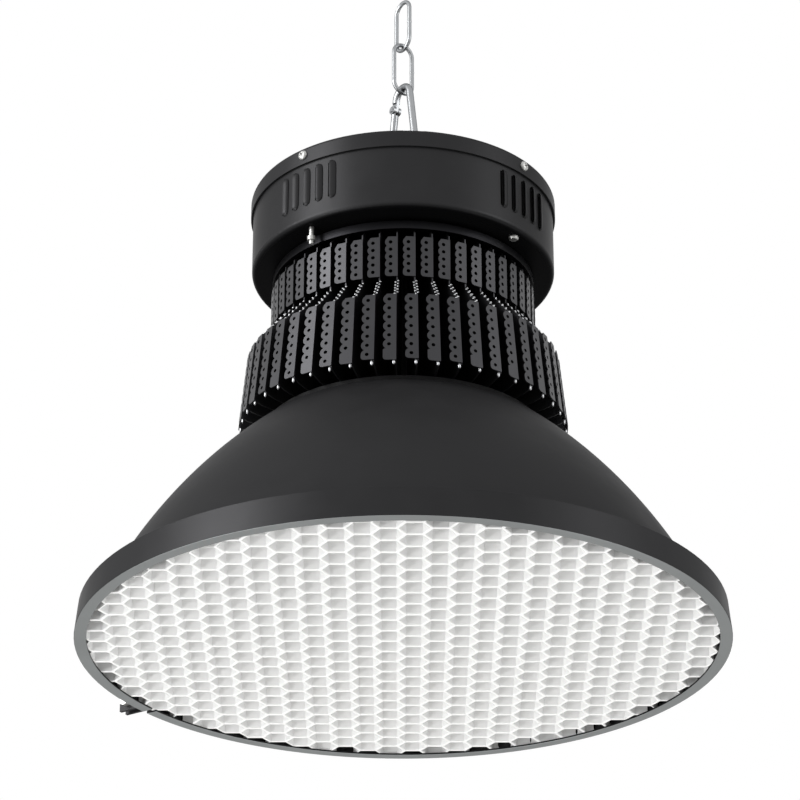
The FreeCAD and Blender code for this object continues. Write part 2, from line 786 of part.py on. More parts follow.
def side_screws():
    """Pan head screws through the lid's skirt into the can."""
    body = new_body("lid_screws", z=side_screw_z, turn=s.side_turn)
    seat = s.can_radius + s.lid_gap + s.lid_wall
    section = Drawing(body, "lid_screw_section")
    tip = seat - s.screw_length
    section.outline(
        [
            (tip, 0),
            (seat + s.screw_head_height, 0),
            (seat + s.screw_head_height, s.screw_head * 0.5),
            (seat + s.screw_head_height * 0.5, s.screw_head),
            (seat, s.screw_head),
            (seat, s.screw_radius),
            (tip, s.screw_radius),
        ]
    )
    around(body, [spin(body, section, "H_Axis")], s.side_count)


side_screw_z = lid_z + s.lid_depth / 2
driver_lid()
driver_can()
side_screws()


def driver_tray():
    """The plate inside the can that carries the driver."""
    body = new_body("driver_tray", z=floor_z, turn=s.side_turn)
    section = Drawing(body, "tray_section")
    hole = s.wire_hole + s.grommet_wall + s.grommet_lip + 1
    section.outline(
        [(hole, 0), (tray_radius, 0), (tray_radius, s.tray_thickness), (hole, s.tray_thickness)]
    )
    spin(body, section)
    for name, circle in (("tray_holes", tray_screw_circle), ("tray_spacer_holes", s.spacer_circle)):
        ring_of_holes(
            body, name, circle, s.screw_radius, s.side_count, s.tray_thickness * 2, s.tray_thickness
        )


def tray_screws():
    """Three screws up through the can's floor into the tray."""
    body = new_body("tray_screws", z=can_z, turn=s.side_turn - 90)
    upright_screw(
        body,
        "tray_screw_section",
        tray_screw_circle,
        sized(0),
        False,
        s.can_wall + s.tray_thickness + 3,
        s.screw_head,
        s.screw_head_height,
        s.screw_radius,
    )
    pattern = around(body, [body.Tip], sized(3))
    pattern.Angle = 180


def earth_stud():
    """The fourth tray screw, left long under the floor for the earth nut."""
    body = new_body("earth_stud", z=tray_top_z, turn=s.side_turn + 180)
    upright_screw(
        body,
        "earth_stud_section",
        tray_screw_circle,
        sized(0),
        True,
        s.can_wall + s.tray_thickness + s.earth_drop,
        s.screw_head,
        s.screw_head_height,
        s.screw_radius,
    )


def earth_nut():
    """The nut on the earth stud."""
    body = new_body("earth_nut", z=can_z - s.earth_drop + s.nut_height, turn=s.side_turn + 180)
    section = Drawing(body, "earth_nut_section", "XY_Plane")
    section.circle(tray_screw_circle, 0, s.nut_flats / 2)
    section.circle(tray_screw_circle, 0, s.screw_radius)
    pad(body, section, s.nut_height)


driver_tray()
tray_screws()
earth_stud()
earth_nut()


def wire_grommet():
    """A rubber ring in the can's floor round the wires."""
    body = new_body("wire_grommet", z=can_z)
    inner = s.wire_hole
    neck = s.wire_hole + s.grommet_wall
    lip = neck + s.grommet_lip
    thick = s.tray_thickness
    top = s.can_wall
    section = Drawing(body, "grommet_section")
    section.outline(
        [
            (inner, -thick),
            (lip - 1, -thick),
            (lip, 0),
            (neck, 0),
            (neck, top),
            (lip, top),
            (lip - 1, top + thick),
            (inner, top + thick),
        ]
    )
    spin(body, section)


wire_grommet()


def led_driver():
    """A flat cast box with a screw ear at each end."""
    body = new_body("led_driver", z=tray_top_z, turn=s.side_turn)
    half = s.driver_width / 2
    near = s.driver_back - s.driver_depth / 2
    far = s.driver_back + s.driver_depth / 2
    box = Drawing(body, "driver_box", "XY_Plane")
    box.outline([(-half, near), (half, near), (half, far), (-half, far)])
    pad(body, box, s.driver_height)
    ears = Drawing(body, "driver_ears", "XY_Plane")
    reach = half + s.driver_ear
    side = s.driver_ear * 0.8
    ears.outline(
        [
            (-reach, s.driver_back - side),
            (reach, s.driver_back - side),
            (reach, s.driver_back + side),
            (-reach, s.driver_back + side),
        ]
    )
    pad(body, ears, s.driver_ear_thickness)
    holes = Drawing(body, "driver_ear_holes", "XY_Plane", s.driver_ear_thickness)
    for side_sign in (-1, 1):
        holes.circle((half + s.driver_ear / 2) * side_sign, s.driver_back, s.screw_radius)
    body.Tip = pocket(body, holes, s.driver_ear_thickness * 2)


def driver_screws():
    """A screw down through each ear of the driver into the tray."""
    body = new_body("driver_screws", z=tray_top_z + s.driver_ear_thickness, turn=s.side_turn)
    for name, way in (("driver_screw_a", -1), ("driver_screw_b", 1)):
        section = Drawing(body, name + "_head", "XY_Plane")
        spot = (s.driver_width + s.driver_ear) / 2 * way
        section.circle(spot, s.driver_back, s.screw_head)
        pad(body, section, s.screw_head_height)
        thread = Drawing(body, name + "_thread", "XY_Plane")
        thread.circle(spot, s.driver_back, s.screw_radius)
        pad(body, thread, s.driver_ear_thickness, back=True)


def terminal_block():
    """A three-way block with round wire openings and screw wells."""
    body = new_body("terminal_block", z=tray_top_z, turn=s.side_turn)
    half = s.block_width / 2
    front = -s.driver_back - s.block_depth / 2
    box = Drawing(body, "block_box", "XY_Plane")
    box.outline(
        [(-half, front), (half, front), (half, front + s.block_depth), (-half, front + s.block_depth)]
    )
    pad(body, box, s.block_height)
    wires = Drawing(body, "block_wires", "XZ_Plane", s.driver_back + s.block_depth / 2)
    wells = Drawing(body, "block_wells", "XY_Plane", s.block_height)
    for place_in_row in (-1, 0, 1):
        wires.circle(s.block_pitch * place_in_row, s.block_height * 0.4, s.screw_head * 0.8)
        wells.circle(s.block_pitch * place_in_row, -s.driver_back, s.screw_head * 0.7)
    pocket(body, wires, s.block_depth * 0.4)
    body.Tip = pocket(body, wells, s.block_height * 0.25)


led_driver()
driver_screws()
terminal_block()

# The cable gland stands on the lid, off the axis at the back.
gland_turn = math.radians(s.side_turn.value + 90)


def at_gland(body):
    """Move a gland piece from the axis to the gland's place."""
    turn = f"({s.side_turn.formula} + 90)"
    for letter, function, part in (("x", "cos", math.cos), ("y", "sin", math.sin)):
        setattr(body.Placement.Base, letter, s.gland_circle.value * part(gland_turn))
        formula = f"{s.gland_circle.formula} * {function}({turn} * 1 deg)"
        body.setExpression(f"Placement.Base.{letter}", formula)


def gland_body():
    """A hexagon with a thread each way and a stepped bore for the seal."""
    body = new_body("gland_body", z=lid_top_z)
    at_gland(body)
    hexagon = Drawing(body, "gland_hexagon", "XY_Plane")
    hexagon.hexagon(s.gland_flats)
    hexagon.circle(0, 0, s.gland_bore)
    pad(body, hexagon, s.gland_base)
    stem = Drawing(body, "gland_stem")
    top = s.gland_base + s.gland_stem
    seal = s.gland_bore + s.seal_wall
    stem.outline(
        [
            (s.gland_bore, -s.gland_tail),
            (s.gland_thread, -s.gland_tail),
            (s.gland_thread, top),
            (seal, top),
            (seal, s.gland_base),
            (s.gland_bore, s.gland_base),
        ]
    )
    spin(body, stem)


def gland_cap():
    """The domed nut that squeezes the seal round the cable."""
    body = new_body("gland_cap", z=lid_top_z + s.gland_base)
    at_gland(body)
    foot = Drawing(body, "cap_hexagon", "XY_Plane")
    foot.hexagon(s.gland_flats)
    foot.circle(0, 0, s.gland_thread)
    pad(body, foot, s.gland_stem * 0.8)
    dome = Drawing(body, "cap_dome")
    seal = s.gland_bore + s.seal_wall
    wide = s.gland_flats / 2
    dome.outline(
        [
            (s.gland_thread, s.gland_stem * 0.8),
            (wide, s.gland_stem * 0.8),
            (seal + 1, s.gland_cap_height, s.gland_flats / 2),
            (seal, s.gland_cap_height),
            (seal, s.gland_stem),
            (s.gland_thread, s.gland_stem),
        ]
    )
    spin(body, dome)


gland_body()
gland_cap()
at_gland(
    washer(
        "gland_seal",
        s.gland_bore + s.seal_wall,
        s.gland_bore,
        s.gland_cap_height,
        z=lid_top_z + s.gland_base,
    )
)
at_gland(
    nut(
        "gland_lock_nut",
        s.gland_flats,
        s.gland_thread,
        s.gland_lock_height,
        z=under_lid_z - s.gland_lock_height,
    )
)


# ---------------------------------------------------------------- heat sink


def spacers():
    """Four round spacers between the can and the heat sink."""
    body = new_body("can_spacers", z=can_z - s.spacer_height, turn=s.side_turn)
    ring = Drawing(body, "spacer_ring", "XY_Plane")
    ring.circle(s.spacer_circle, 0, s.spacer_radius)
    ring.circle(s.spacer_circle, 0, s.screw_radius)
    around(body, [pad(body, ring, s.spacer_height)], s.side_count)


def ring_of_screws(label, z, circle, count, length, head_up, turn):
    """Identical upright screws evenly round the axis, their heads' seats at z."""
    body = new_body(label, z=z, turn=turn)
    screw = upright_screw(
        body,
        label + "_section",
        circle,
        sized(0),
        head_up,
        length,
        s.screw_head,
        s.screw_head_height,
        s.screw_radius,
    )
    around(body, [screw], count)


def top_plate():
    """The disc over the fins."""
    body = washer("sink_top_plate", plate_radius, s.wire_hole, s.plate_thickness, z=plate_z)
    body.Placement.Rotation = FreeCAD.Rotation(FreeCAD.Vector(0, 0, 1), s.side_turn.value)
    body.setExpression("Placement.Rotation.Angle", s.side_turn.formula)
    for name, circle in (("plate_holes", s.spacer_circle), ("core_holes", s.core_screw_circle)):
        ring_of_holes(
            body, name, circle, s.screw_radius, s.side_count, s.plate_thickness * 2, s.plate_thickness
        )


def sink_core():
    """A forged pillar on its foot plate, bored through for the wires."""
    body = new_body("sink_core", z=neck_z, turn=s.side_turn)
    top = s.base_thickness + s.fin_height
    section = Drawing(body, "core_section")
    section.outline(
        [
            (s.wire_hole, 0),
            (base_radius, 0),
            (base_radius, s.base_thickness),
            (s.core_radius, s.base_thickness),
            (s.core_radius, top),
            (s.wire_hole, top),
        ]
    )
    spin(body, section)
    depth = s.screw_length - s.plate_thickness + 4
    ring_of_holes(body, "core_taps", s.core_screw_circle, s.screw_radius, s.side_count, depth, top)
    through = s.base_thickness * 2
    lift = s.base_thickness + s.base_thickness / 2
    ring_of_holes(
        body, "shade_taps", neck_screw_circle, s.screw_radius, s.neck_screw_count, through, lift
    )
    ring_of_holes(
        body,
        "board_taps",
        board_screw_circle,
        s.screw_radius,
        s.side_count,
        through,
        lift,
    )


spacers()
ring_of_screws(
    "spacer_screws",
    tray_top_z,
    s.spacer_circle,
    s.side_count,
    s.tray_thickness + s.can_wall + s.spacer_height + s.plate_thickness,
    True,
    s.side_turn,
)
ring_of_screws(
    "plate_screws",
    plate_z + s.plate_thickness,
    s.core_screw_circle,
    s.side_count,
    s.screw_length + 4,
    True,
    s.side_turn,
)
top_plate()
sink_core()


def cooling_fins():
    """Forty-eight stamped sheets, their outer edges folded into two tiers of flange."""
    body = new_body("cooling_fins", z=base_top_z, turn=s.fin_turn)
    shoulder = s.upper_foot
    sheet = Drawing(body, "fin_sheet")
    sheet.outline(
        [
            (s.core_radius, 0),
            (fin_root, 0),
            (lower_reach, s.lower_foot, s.fin_foot_round),
            (lower_top_reach, s.lower_head),
            (upper_reach, shoulder),
            (upper_reach, s.fin_height - s.fin_corner),
            (upper_reach - s.fin_corner, s.fin_height),
            (s.core_radius, s.fin_height),
        ]
    )
    features = [pad(body, sheet, s.fin_thickness, both=True)]
    thick = s.fin_thickness
    foot = shoulder + s.flange_inset
    head = foot + s.upper_flange_length
    upper = Drawing(body, "fin_upper_flange")
    upper.outline(
        [
            (upper_reach - thick, foot),
            (upper_reach, foot),
            (upper_reach, head),
            (upper_reach - thick, head),
        ]
    )
    features.append(pad(body, upper, s.upper_flange))
    lower = Drawing(body, "fin_lower_flange")
    lower.outline(
        [
            (lower_reach - thick, s.lower_foot),
            (lower_reach, s.lower_foot),
            (lower_top_reach, s.lower_head),
            (lower_top_reach - thick, s.lower_head),
        ]
    )
    features.append(pad(body, lower, s.lower_flange))
    around(body, features, s.fin_count)


cooling_fins()


# ---------------------------------------------------------------- light source

board_z = neck_z - s.board_thickness
board = washer("led_board", board_radius, s.wire_hole / 2, s.board_thickness, z=board_z)
board.Placement.Rotation = FreeCAD.Rotation(FreeCAD.Vector(0, 0, 1), s.side_turn.value)
board.setExpression("Placement.Rotation.Angle", s.side_turn.formula)
ring_of_holes(
    board,
    "board_holes",
    board_screw_circle,
    s.screw_radius,
    s.side_count,
    s.board_thickness * 2,
    s.board_thickness,
)


def led_arrays():
    """Four square light arrays on the board."""
    body = new_body("led_arrays", z=board_z - s.chip_height, turn=s.side_turn + 45)
    square = Drawing(body, "array_square", "XY_Plane")
    half = s.chip_side / 2
    near = s.chip_circle - half
    far = s.chip_circle + half
    square.outline([(near, -half), (far, -half), (far, half), (near, half)])
    around(body, [pad(body, square, s.chip_height)], s.side_count)


led_arrays()
ring_of_screws(
    "board_screws",
    board_z,
    board_screw_circle,
    s.side_count,
    s.board_thickness + s.base_thickness,
    False,
    s.side_turn,
)


# ---------------------------------------------------------------- shade and louvre


def reflector_shade():
    """A spun bell with a flat neck ring and a turned out flange."""
    body = new_body("reflector_shade", z=shade_z, turn=s.side_turn)
    wall = s.shade_wall
    top = s.shade_height
    section = Drawing(body, "shade_section")
    section.outline(
        [
            (s.neck_hole, top),
            (s.neck_hole, top - wall),
            (s.neck_radius - wall * 0.4, top - wall),
            (mouth_radius - wall * 0.6, 0, wall - s.shade_curve),
            (shade_flange, 0),
            (shade_flange, wall),
            (mouth_radius, wall),
            (s.neck_radius, top, s.shade_curve),
        ]
    )
    spin(body, section)
    ring_of_holes(
        body,
        "shade_neck_holes",
        neck_screw_circle,
        s.screw_radius,
        s.neck_screw_count,
        wall * 3,
        top + wall,
    )


reflector_shade()
ring_of_screws(
    "shade_screws",
    neck_z - s.shade_wall,
    neck_screw_circle,
    s.neck_screw_count,
    s.shade_wall + s.base_thickness,
    False,
    s.side_turn,
)
washer(
    "lens_gasket",
    shade_flange,
    shade_flange - s.gasket_width,
    s.gasket_thickness,
    z=gasket_z,
)


def glass_lens():
    """A flat disc of toughened glass."""
    body = new_body("glass_lens", z=glass_z)
    disc = Drawing(body, "glass_disc", "XY_Plane")
    disc.circle(0, 0, glass_radius)
    pad(body, disc, s.glass_thickness)


glass_lens()


def cell_corners(x, y, side):
    """The corners of a hexagon with two corners along X."""
    turns = [math.radians(60 * corner) for corner in range(6)]
    return [FreeCAD.Vector(x + side * math.cos(a), y + side * math.sin(a), 0) for a in turns]


def closed_wire(corners):
    """A wire through corners and back to the first."""
    return Part.makePolygon([*corners, corners[0]])


def comb_centres():
    """Cell centres on a hexagonal grid, kept where a whole cell fits the hoop."""
    across = s.cell_side.value * 1.5
    along = s.cell_side.value * math.sqrt(3)
    outer_side = s.cell_side.value + s.cell_wall.value / math.sqrt(3)
    count = math.ceil(comb_radius.value / across) + 1
    for column in range(-count, count + 1):
        for row in range(-count, count + 1):
            x = s.comb_shift.value + across * column
            y = s.comb_setback.value + along * (row + 0.5 * (column % 2))
            reach = max(math.hypot(c.x, c.y) for c in cell_corners(x, y, outer_side))
            if reach <= comb_radius.value:
                yield x, y


def comb_outline(centres):
    """The zigzag wire round all the cells, through the middle of the outer walls."""
    owners = {}
    for x, y in centres:
        corners = cell_corners(x, y, s.cell_side.value)
        for start, end in zip(corners, corners[1:] + corners[:1]):
            keys = [(round(p.x, 2), round(p.y, 2)) for p in (start, end)]
            owners.setdefault(frozenset(keys), []).append((keys[0], keys[1]))
    following = dict(edges[0] for edges in owners.values() if len(edges) == 1)
    first = min(following)
    corners = [first]
    while following[corners[-1]] != first:
        corners.append(following[corners[-1]])
    return closed_wire([FreeCAD.Vector(x, y, 0) for x, y in corners])


def honeycomb_louvre():
    """A moulded grid of hexagonal cells with open ends, cut off in whole cells."""
    centres = list(comb_centres())
    outline = comb_outline(centres).makeOffset2D(s.cell_wall.value / 2, 2)
    inner_side = s.cell_side.value - s.cell_wall.value / math.sqrt(3)
    cells = [closed_wire(cell_corners(x, y, inner_side)) for x, y in centres]
    comb = doc.addObject("Part::Feature", "honeycomb_louvre")
    face = Part.makeFace([outline, *cells], "Part::FaceMakerBullseye")
    comb.Shape = face.extrude(FreeCAD.Vector(0, 0, s.cell_depth.value))
    place(comb, z=comb_z)
    nodes.append(comb)


honeycomb_louvre()


# ---------------------------------------------------------------- clamp hoop

hoop_screw_x = s.rim_radius + s.ear_reach * 0.65
ear_outer = s.hoop_split / 2 + s.ear_thickness


def clamp_hoop():
    """A rolled channel round the shade, glass and louvre, split between two ears."""
    body = new_body("clamp_hoop", z=rim_z, turn=s.hoop_turn)
    wall = s.hoop_wall
    top_radius = s.rim_radius - s.hoop_draft
    section = Drawing(body, "hoop_section")
    section.outline(
        [
            (s.rim_radius - s.hoop_flange, 0),
            (s.rim_radius, 0),
            (top_radius, hoop_height),
            (shade_flange - s.hoop_lip, hoop_height),
            (shade_flange - s.hoop_lip, hoop_height - wall),
            (hoop_inner, hoop_height - wall),
            (s.rim_radius - wall, wall),
            (s.rim_radius - s.hoop_flange, wall),
        ]
    )
    spin(body, section)
    ears = Drawing(body, "hoop_ears", "XY_Plane", s.ear_margin)
    outer = s.rim_radius + s.ear_reach
    ears.outline(
        [
            (hoop_inner, -ear_outer),
            (outer, -ear_outer),
            (outer, ear_outer),
            (hoop_inner, ear_outer),
        ]
    )
    pad(body, ears, hoop_height - s.ear_margin * 2)
    split = Drawing(body, "hoop_split_cut", "XY_Plane", hoop_height + 1)
    half = s.hoop_split / 2
    start = s.rim_radius - s.hoop_flange * 2
    split.outline([(start, -half), (outer + 1, -half), (outer + 1, half), (start, half)])
    pocket(body, split, hoop_height + 2)
    hole = Drawing(body, "hoop_screw_hole")
    hole.circle(hoop_screw_x, hoop_height / 2, s.hoop_screw + s.hole_gap)
    body.Tip = pocket(body, hole, ear_outer * 4, both=True)


def hoop_screw():
    """The cap screw that draws the ears together."""
    body = new_body("hoop_screw", z=rim_z, turn=s.hoop_turn)
    head = Drawing(body, "hoop_screw_head", "XZ_Plane", -ear_outer)
    head.circle(hoop_screw_x, hoop_height / 2, s.hoop_screw_head)
    pad(body, head, s.hoop_screw_head_height, back=True)
    thread = Drawing(body, "hoop_screw_thread", "XZ_Plane", -ear_outer)
    thread.circle(hoop_screw_x, hoop_height / 2, s.hoop_screw)
    pad(body, thread, ear_outer * 2 + s.hoop_nut_height + s.hoop_screw_spare)


def hoop_nut():
    """The nut behind the other ear."""
    body = new_body("hoop_nut", z=rim_z, turn=s.hoop_turn)
    section = Drawing(body, "hoop_nut_section", "XZ_Plane", ear_outer)
    section.circle(hoop_screw_x, hoop_height / 2, s.hoop_nut_flats / 2)
    section.circle(hoop_screw_x, hoop_height / 2, s.hoop_screw)
    pad(body, section, s.hoop_nut_height)


clamp_hoop()
hoop_screw()
hoop_nut()


# ---------------------------------------------------------------- check and export

doc.recompute()
faulty = [item.Name for item in doc.Objects if {"Invalid", "Error"} & set(item.State)]
faulty += [node.Label for node in nodes if node.Shape.isNull() or not node.Shape.isValid()]
if faulty:
    raise RuntimeError("not sound: " + ", ".join(faulty))
os.makedirs("parts", exist_ok=True)
for node in nodes:
    node.Shape.exportStep(os.path.join("parts", node.Label + ".step"))
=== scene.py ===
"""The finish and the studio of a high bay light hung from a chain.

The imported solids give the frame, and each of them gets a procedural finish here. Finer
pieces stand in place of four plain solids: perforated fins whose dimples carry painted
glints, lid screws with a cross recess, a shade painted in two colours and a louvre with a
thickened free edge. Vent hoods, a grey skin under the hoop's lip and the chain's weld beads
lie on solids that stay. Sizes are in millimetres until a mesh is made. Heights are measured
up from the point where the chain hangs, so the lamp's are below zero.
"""

import logging
import math
from collections.abc import Iterable
from dataclasses import dataclass, field, replace
from enum import Enum

import bmesh
import bpy
from mathutils import Matrix, Vector


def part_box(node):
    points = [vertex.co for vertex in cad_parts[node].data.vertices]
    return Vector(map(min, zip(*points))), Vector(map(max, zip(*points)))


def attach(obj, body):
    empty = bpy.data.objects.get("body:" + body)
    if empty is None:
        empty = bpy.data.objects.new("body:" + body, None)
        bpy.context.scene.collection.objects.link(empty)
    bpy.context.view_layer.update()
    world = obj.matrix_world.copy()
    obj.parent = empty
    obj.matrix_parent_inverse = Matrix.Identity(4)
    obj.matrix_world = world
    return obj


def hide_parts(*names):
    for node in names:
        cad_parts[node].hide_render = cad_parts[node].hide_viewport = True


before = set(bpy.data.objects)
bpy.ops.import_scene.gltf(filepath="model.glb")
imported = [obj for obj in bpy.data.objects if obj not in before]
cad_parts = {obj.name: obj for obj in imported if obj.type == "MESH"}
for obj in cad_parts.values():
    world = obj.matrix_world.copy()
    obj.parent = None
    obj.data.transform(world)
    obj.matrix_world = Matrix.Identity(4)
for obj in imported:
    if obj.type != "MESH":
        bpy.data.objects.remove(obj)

log = logging.getLogger("high_bay_light")

Pair = tuple[float, float]
Triple = tuple[float, float, float]
BMesh = bmesh.types.BMesh
Tree = bpy.types.NodeTree
Socket = bpy.types.NodeSocket

MM = 0.001
MM_PER_M = 1000
LAMP = "lamp"

FIN_HEIGHT = 131.0


def level(node: str, share: float = 0.0) -> float:
    """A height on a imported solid: its foot at share 0, its middle at 0.5, its top at 1."""
    low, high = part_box(node)
    return round((low.z + (high.z - low.z) * share) / MM, 3)


# Heights of the main seams.
RIM_Z = level("clamp_hoop")
LOUVRE_Z = level("honeycomb_louvre")
SHADE_Z = level("reflector_shade")
FIN_Z = level("cooling_fins", 1.0) - FIN_HEIGHT
CAN_Z = level("driver_can")
LID_SCREW_Z = level("lid_screws", 0.5)

# The vents and the lid screws stand at one turn, the fins and the hoop's split at others.
SIDE_TURN = 50.5
FIN_TURN = -2.6
HOOP_TURN = 146.0

# Steps round the shade and the hoop, and the angle from which a fold stays sharp.
ROUND_STEPS = 192
SHARP_DEG = 35

# Points closer than this are one point.
TOUCHING = 1e-4


# ---------------------------------------------------------------- finishes


def srgb(code: str) -> tuple[float, float, float, float]:
    """Turn a six-digit sRGB code into a linear colour with full alpha."""
    parts = [int(code[i : i + 2], 16) / 255 for i in (0, 2, 4)]
    linear = [c / 12.92 if c <= 0.04045 else ((c + 0.055) / 1.055) ** 2.4 for c in parts]
    return (*linear, 1.0)


def add_node(tree: Tree, kind: str, **inputs) -> bpy.types.Node:
    """Add a node, set its properties and fill or link its sockets.

    Args:
        tree: The node tree to add to.
        kind: The node's type name.
        **inputs: Node properties by name, or sockets by name or `_number`. A value that
            is a socket is linked.

    Returns:
        The new node.
    """
    node = tree.nodes.new(kind)
    for key, value in inputs.items():
        if key in node.bl_rna.properties and not isinstance(value, Socket):
            setattr(node, key, value)
            continue
        socket = node.inputs[int(key[1:]) if key.startswith("_") else key.replace("_", " ")]
        if isinstance(value, Socket):
            tree.links.new(value, socket)
        else:
            socket.default_value = value
    return node


def maths(tree: Tree, operation: str, *values) -> Socket:
    """Add a maths node over sockets or numbers and return its result."""
    inputs = {f"_{place}": value for place, value in enumerate(values)}
    return add_node(tree, "ShaderNodeMath", operation=operation, **inputs).outputs[0]


class Grain(Enum):
    """How a surface's fine relief runs: how closely it repeats along X, Y and Z."""

    # Even, like sprayed powder.
    PEEL = (1, 1, 1)
    # Rings round the lamp's axis, from spinning.
    TURNED = (0.03, 0.03, 1)
    # Lines along the piece's height.
    DRAWN = (1, 1, 0.04)


@dataclass(frozen=True)
class Finish:
    """A procedural surface: tone, gloss and fine relief at its real scale.

    Args:
        name: The material's name.
        colour: The tone, as a six-digit sRGB code.
        roughness: The mean roughness.
        metallic: 1 for metal, 0 for paint or plastic, between them for a flaked coat.
        grain: How the relief runs.
        grain_mm: Size of one grain of the relief.
        relief_mm: Depth of the relief.
        mottle_mm: Size of the clouds in tone and gloss.
        tone_change: How far the tone drifts, as a share of it.
        gloss_change: How far the roughness drifts.
        specular: Strength of the sheen.
        edge_tint: Brightness of the sheen at a slant.
        fade: Two heights, and the colour that the tone goes over to from one to the other.
        fade_specular: The sheen's strength at the second height.
    """

    name: str
    colour: str
    roughness: float
    metallic: float = 0.0
    grain: Grain = Grain.PEEL
    grain_mm: float = 0.8
    relief_mm: float = 0.02
    mottle_mm: float = 30.0
    tone_change: float = 0.12
    gloss_change: float = 0.08
    specular: float = 0.5
    edge_tint: float = 1.0
    fade: tuple[float, float, str] | None = None
    fade_specular: float | None = None

    SMOOTHEST = 0.02

    def build(self) -> bpy.types.Material:
        """Make the material."""
        material = bpy.data.materials.new(self.name)
        material.use_nodes = True
        tree = material.node_tree
        shader = tree.nodes["Principled BSDF"]
        shader.inputs["Metallic"].default_value = self.metallic
        shader.inputs["Specular IOR Level"].default_value = self.specular
        shader.inputs["Specular Tint"].default_value = (*[self.edge_tint] * 3, 1.0)
        place = add_node(tree, "ShaderNodeTexCoord").outputs["Object"]
        cloud = add_node(
            tree, "ShaderNodeTexNoise", Vector=place, Scale=MM_PER_M / self.mottle_mm, Detail=4.0
        ).outputs["Fac"]
        tone = self._tone(tree, cloud)
        if self.fade:
            tone = self._faded(tree, place, tone, shader)
        tree.links.new(tone, shader.inputs["Base Color"])
        rough = add_node(
            tree,
            "ShaderNodeMapRange",
            Value=cloud,
            _3=max(self.roughness - self.gloss_change, self.SMOOTHEST),
            _4=min(self.roughness + self.gloss_change, 1.0),
        )
        tree.links.new(rough.outputs["Result"], shader.inputs["Roughness"])
        bump = add_node(
            tree,
            "ShaderNodeBump",
            Height=self._relief(tree, place),
            Strength=1.0,
            Distance=self.relief_mm * MM,
        )
        tree.links.new(bump.outputs["Normal"], shader.inputs["Normal"])
        return material

    def _tone(self, tree: Tree, cloud: Socket) -> Socket:
        """Colour that drifts a little."""
        base = srgb(self.colour)
        dark = tuple(c * (1 - self.tone_change) for c in base[:3]) + (1.0,)
        pale = tuple(min(c * (1 + self.tone_change), 1) for c in base[:3]) + (1.0,)
        drift = add_node(tree, "ShaderNodeMix", data_type="RGBA", _0=cloud, _6=dark, _7=pale)
        return drift.outputs[2]

    def _faded(
        self, tree: Tree, place: Socket, tone: Socket, shader: bpy.types.ShaderNode
    ) -> Socket:
        """Colour, and sheen if asked, that go over to others between two heights."""
        start, end, code = self.fade
        height = add_node(tree, "ShaderNodeSeparateXYZ", Vector=place).outputs["Z"]
        share = add_node(
            tree, "ShaderNodeMapRange", Value=height, _1=start * MM, _2=end * MM, _3=0.0, _4=1.0
        ).outputs[0]
        if self.fade_specular is not None:
            sheen = add_node(
                tree, "ShaderNodeMapRange", Value=share, _3=self.specular, _4=self.fade_specular
            )
            tree.links.new(sheen.outputs[0], shader.inputs["Specular IOR Level"])
        mixed = add_node(
            tree, "ShaderNodeMix", data_type="RGBA", _0=share, _6=tone, _7=srgb(code)
        )
        return mixed.outputs[2]

    def _relief(self, tree: Tree, place: Socket) -> Socket:
        """The fine relief's height."""
        spread = add_node(
            tree,
            "ShaderNodeMapping",
            Vector=place,
            Scale=tuple(MM_PER_M / self.grain_mm * part for part in self.grain.value),
        )
        grain = add_node(
            tree, "ShaderNodeTexNoise", Vector=spread.outputs["Vector"], Scale=1.0, Detail=2.0
        )
        return grain.outputs["Fac"]


# Satin powder coat: a soft orange peel that breaks the softbox's edge up. Its flakes give
# it a sheen that hardly grows at a slant.
POWDER_COAT = Finish(
    "satin_black_powder_coat",
    "2C2C2D",
    0.4,
    metallic=0.6,
    relief_mm=0.012,
    grain_mm=1.4,
    specular=0.2,
    edge_tint=0.4,
)

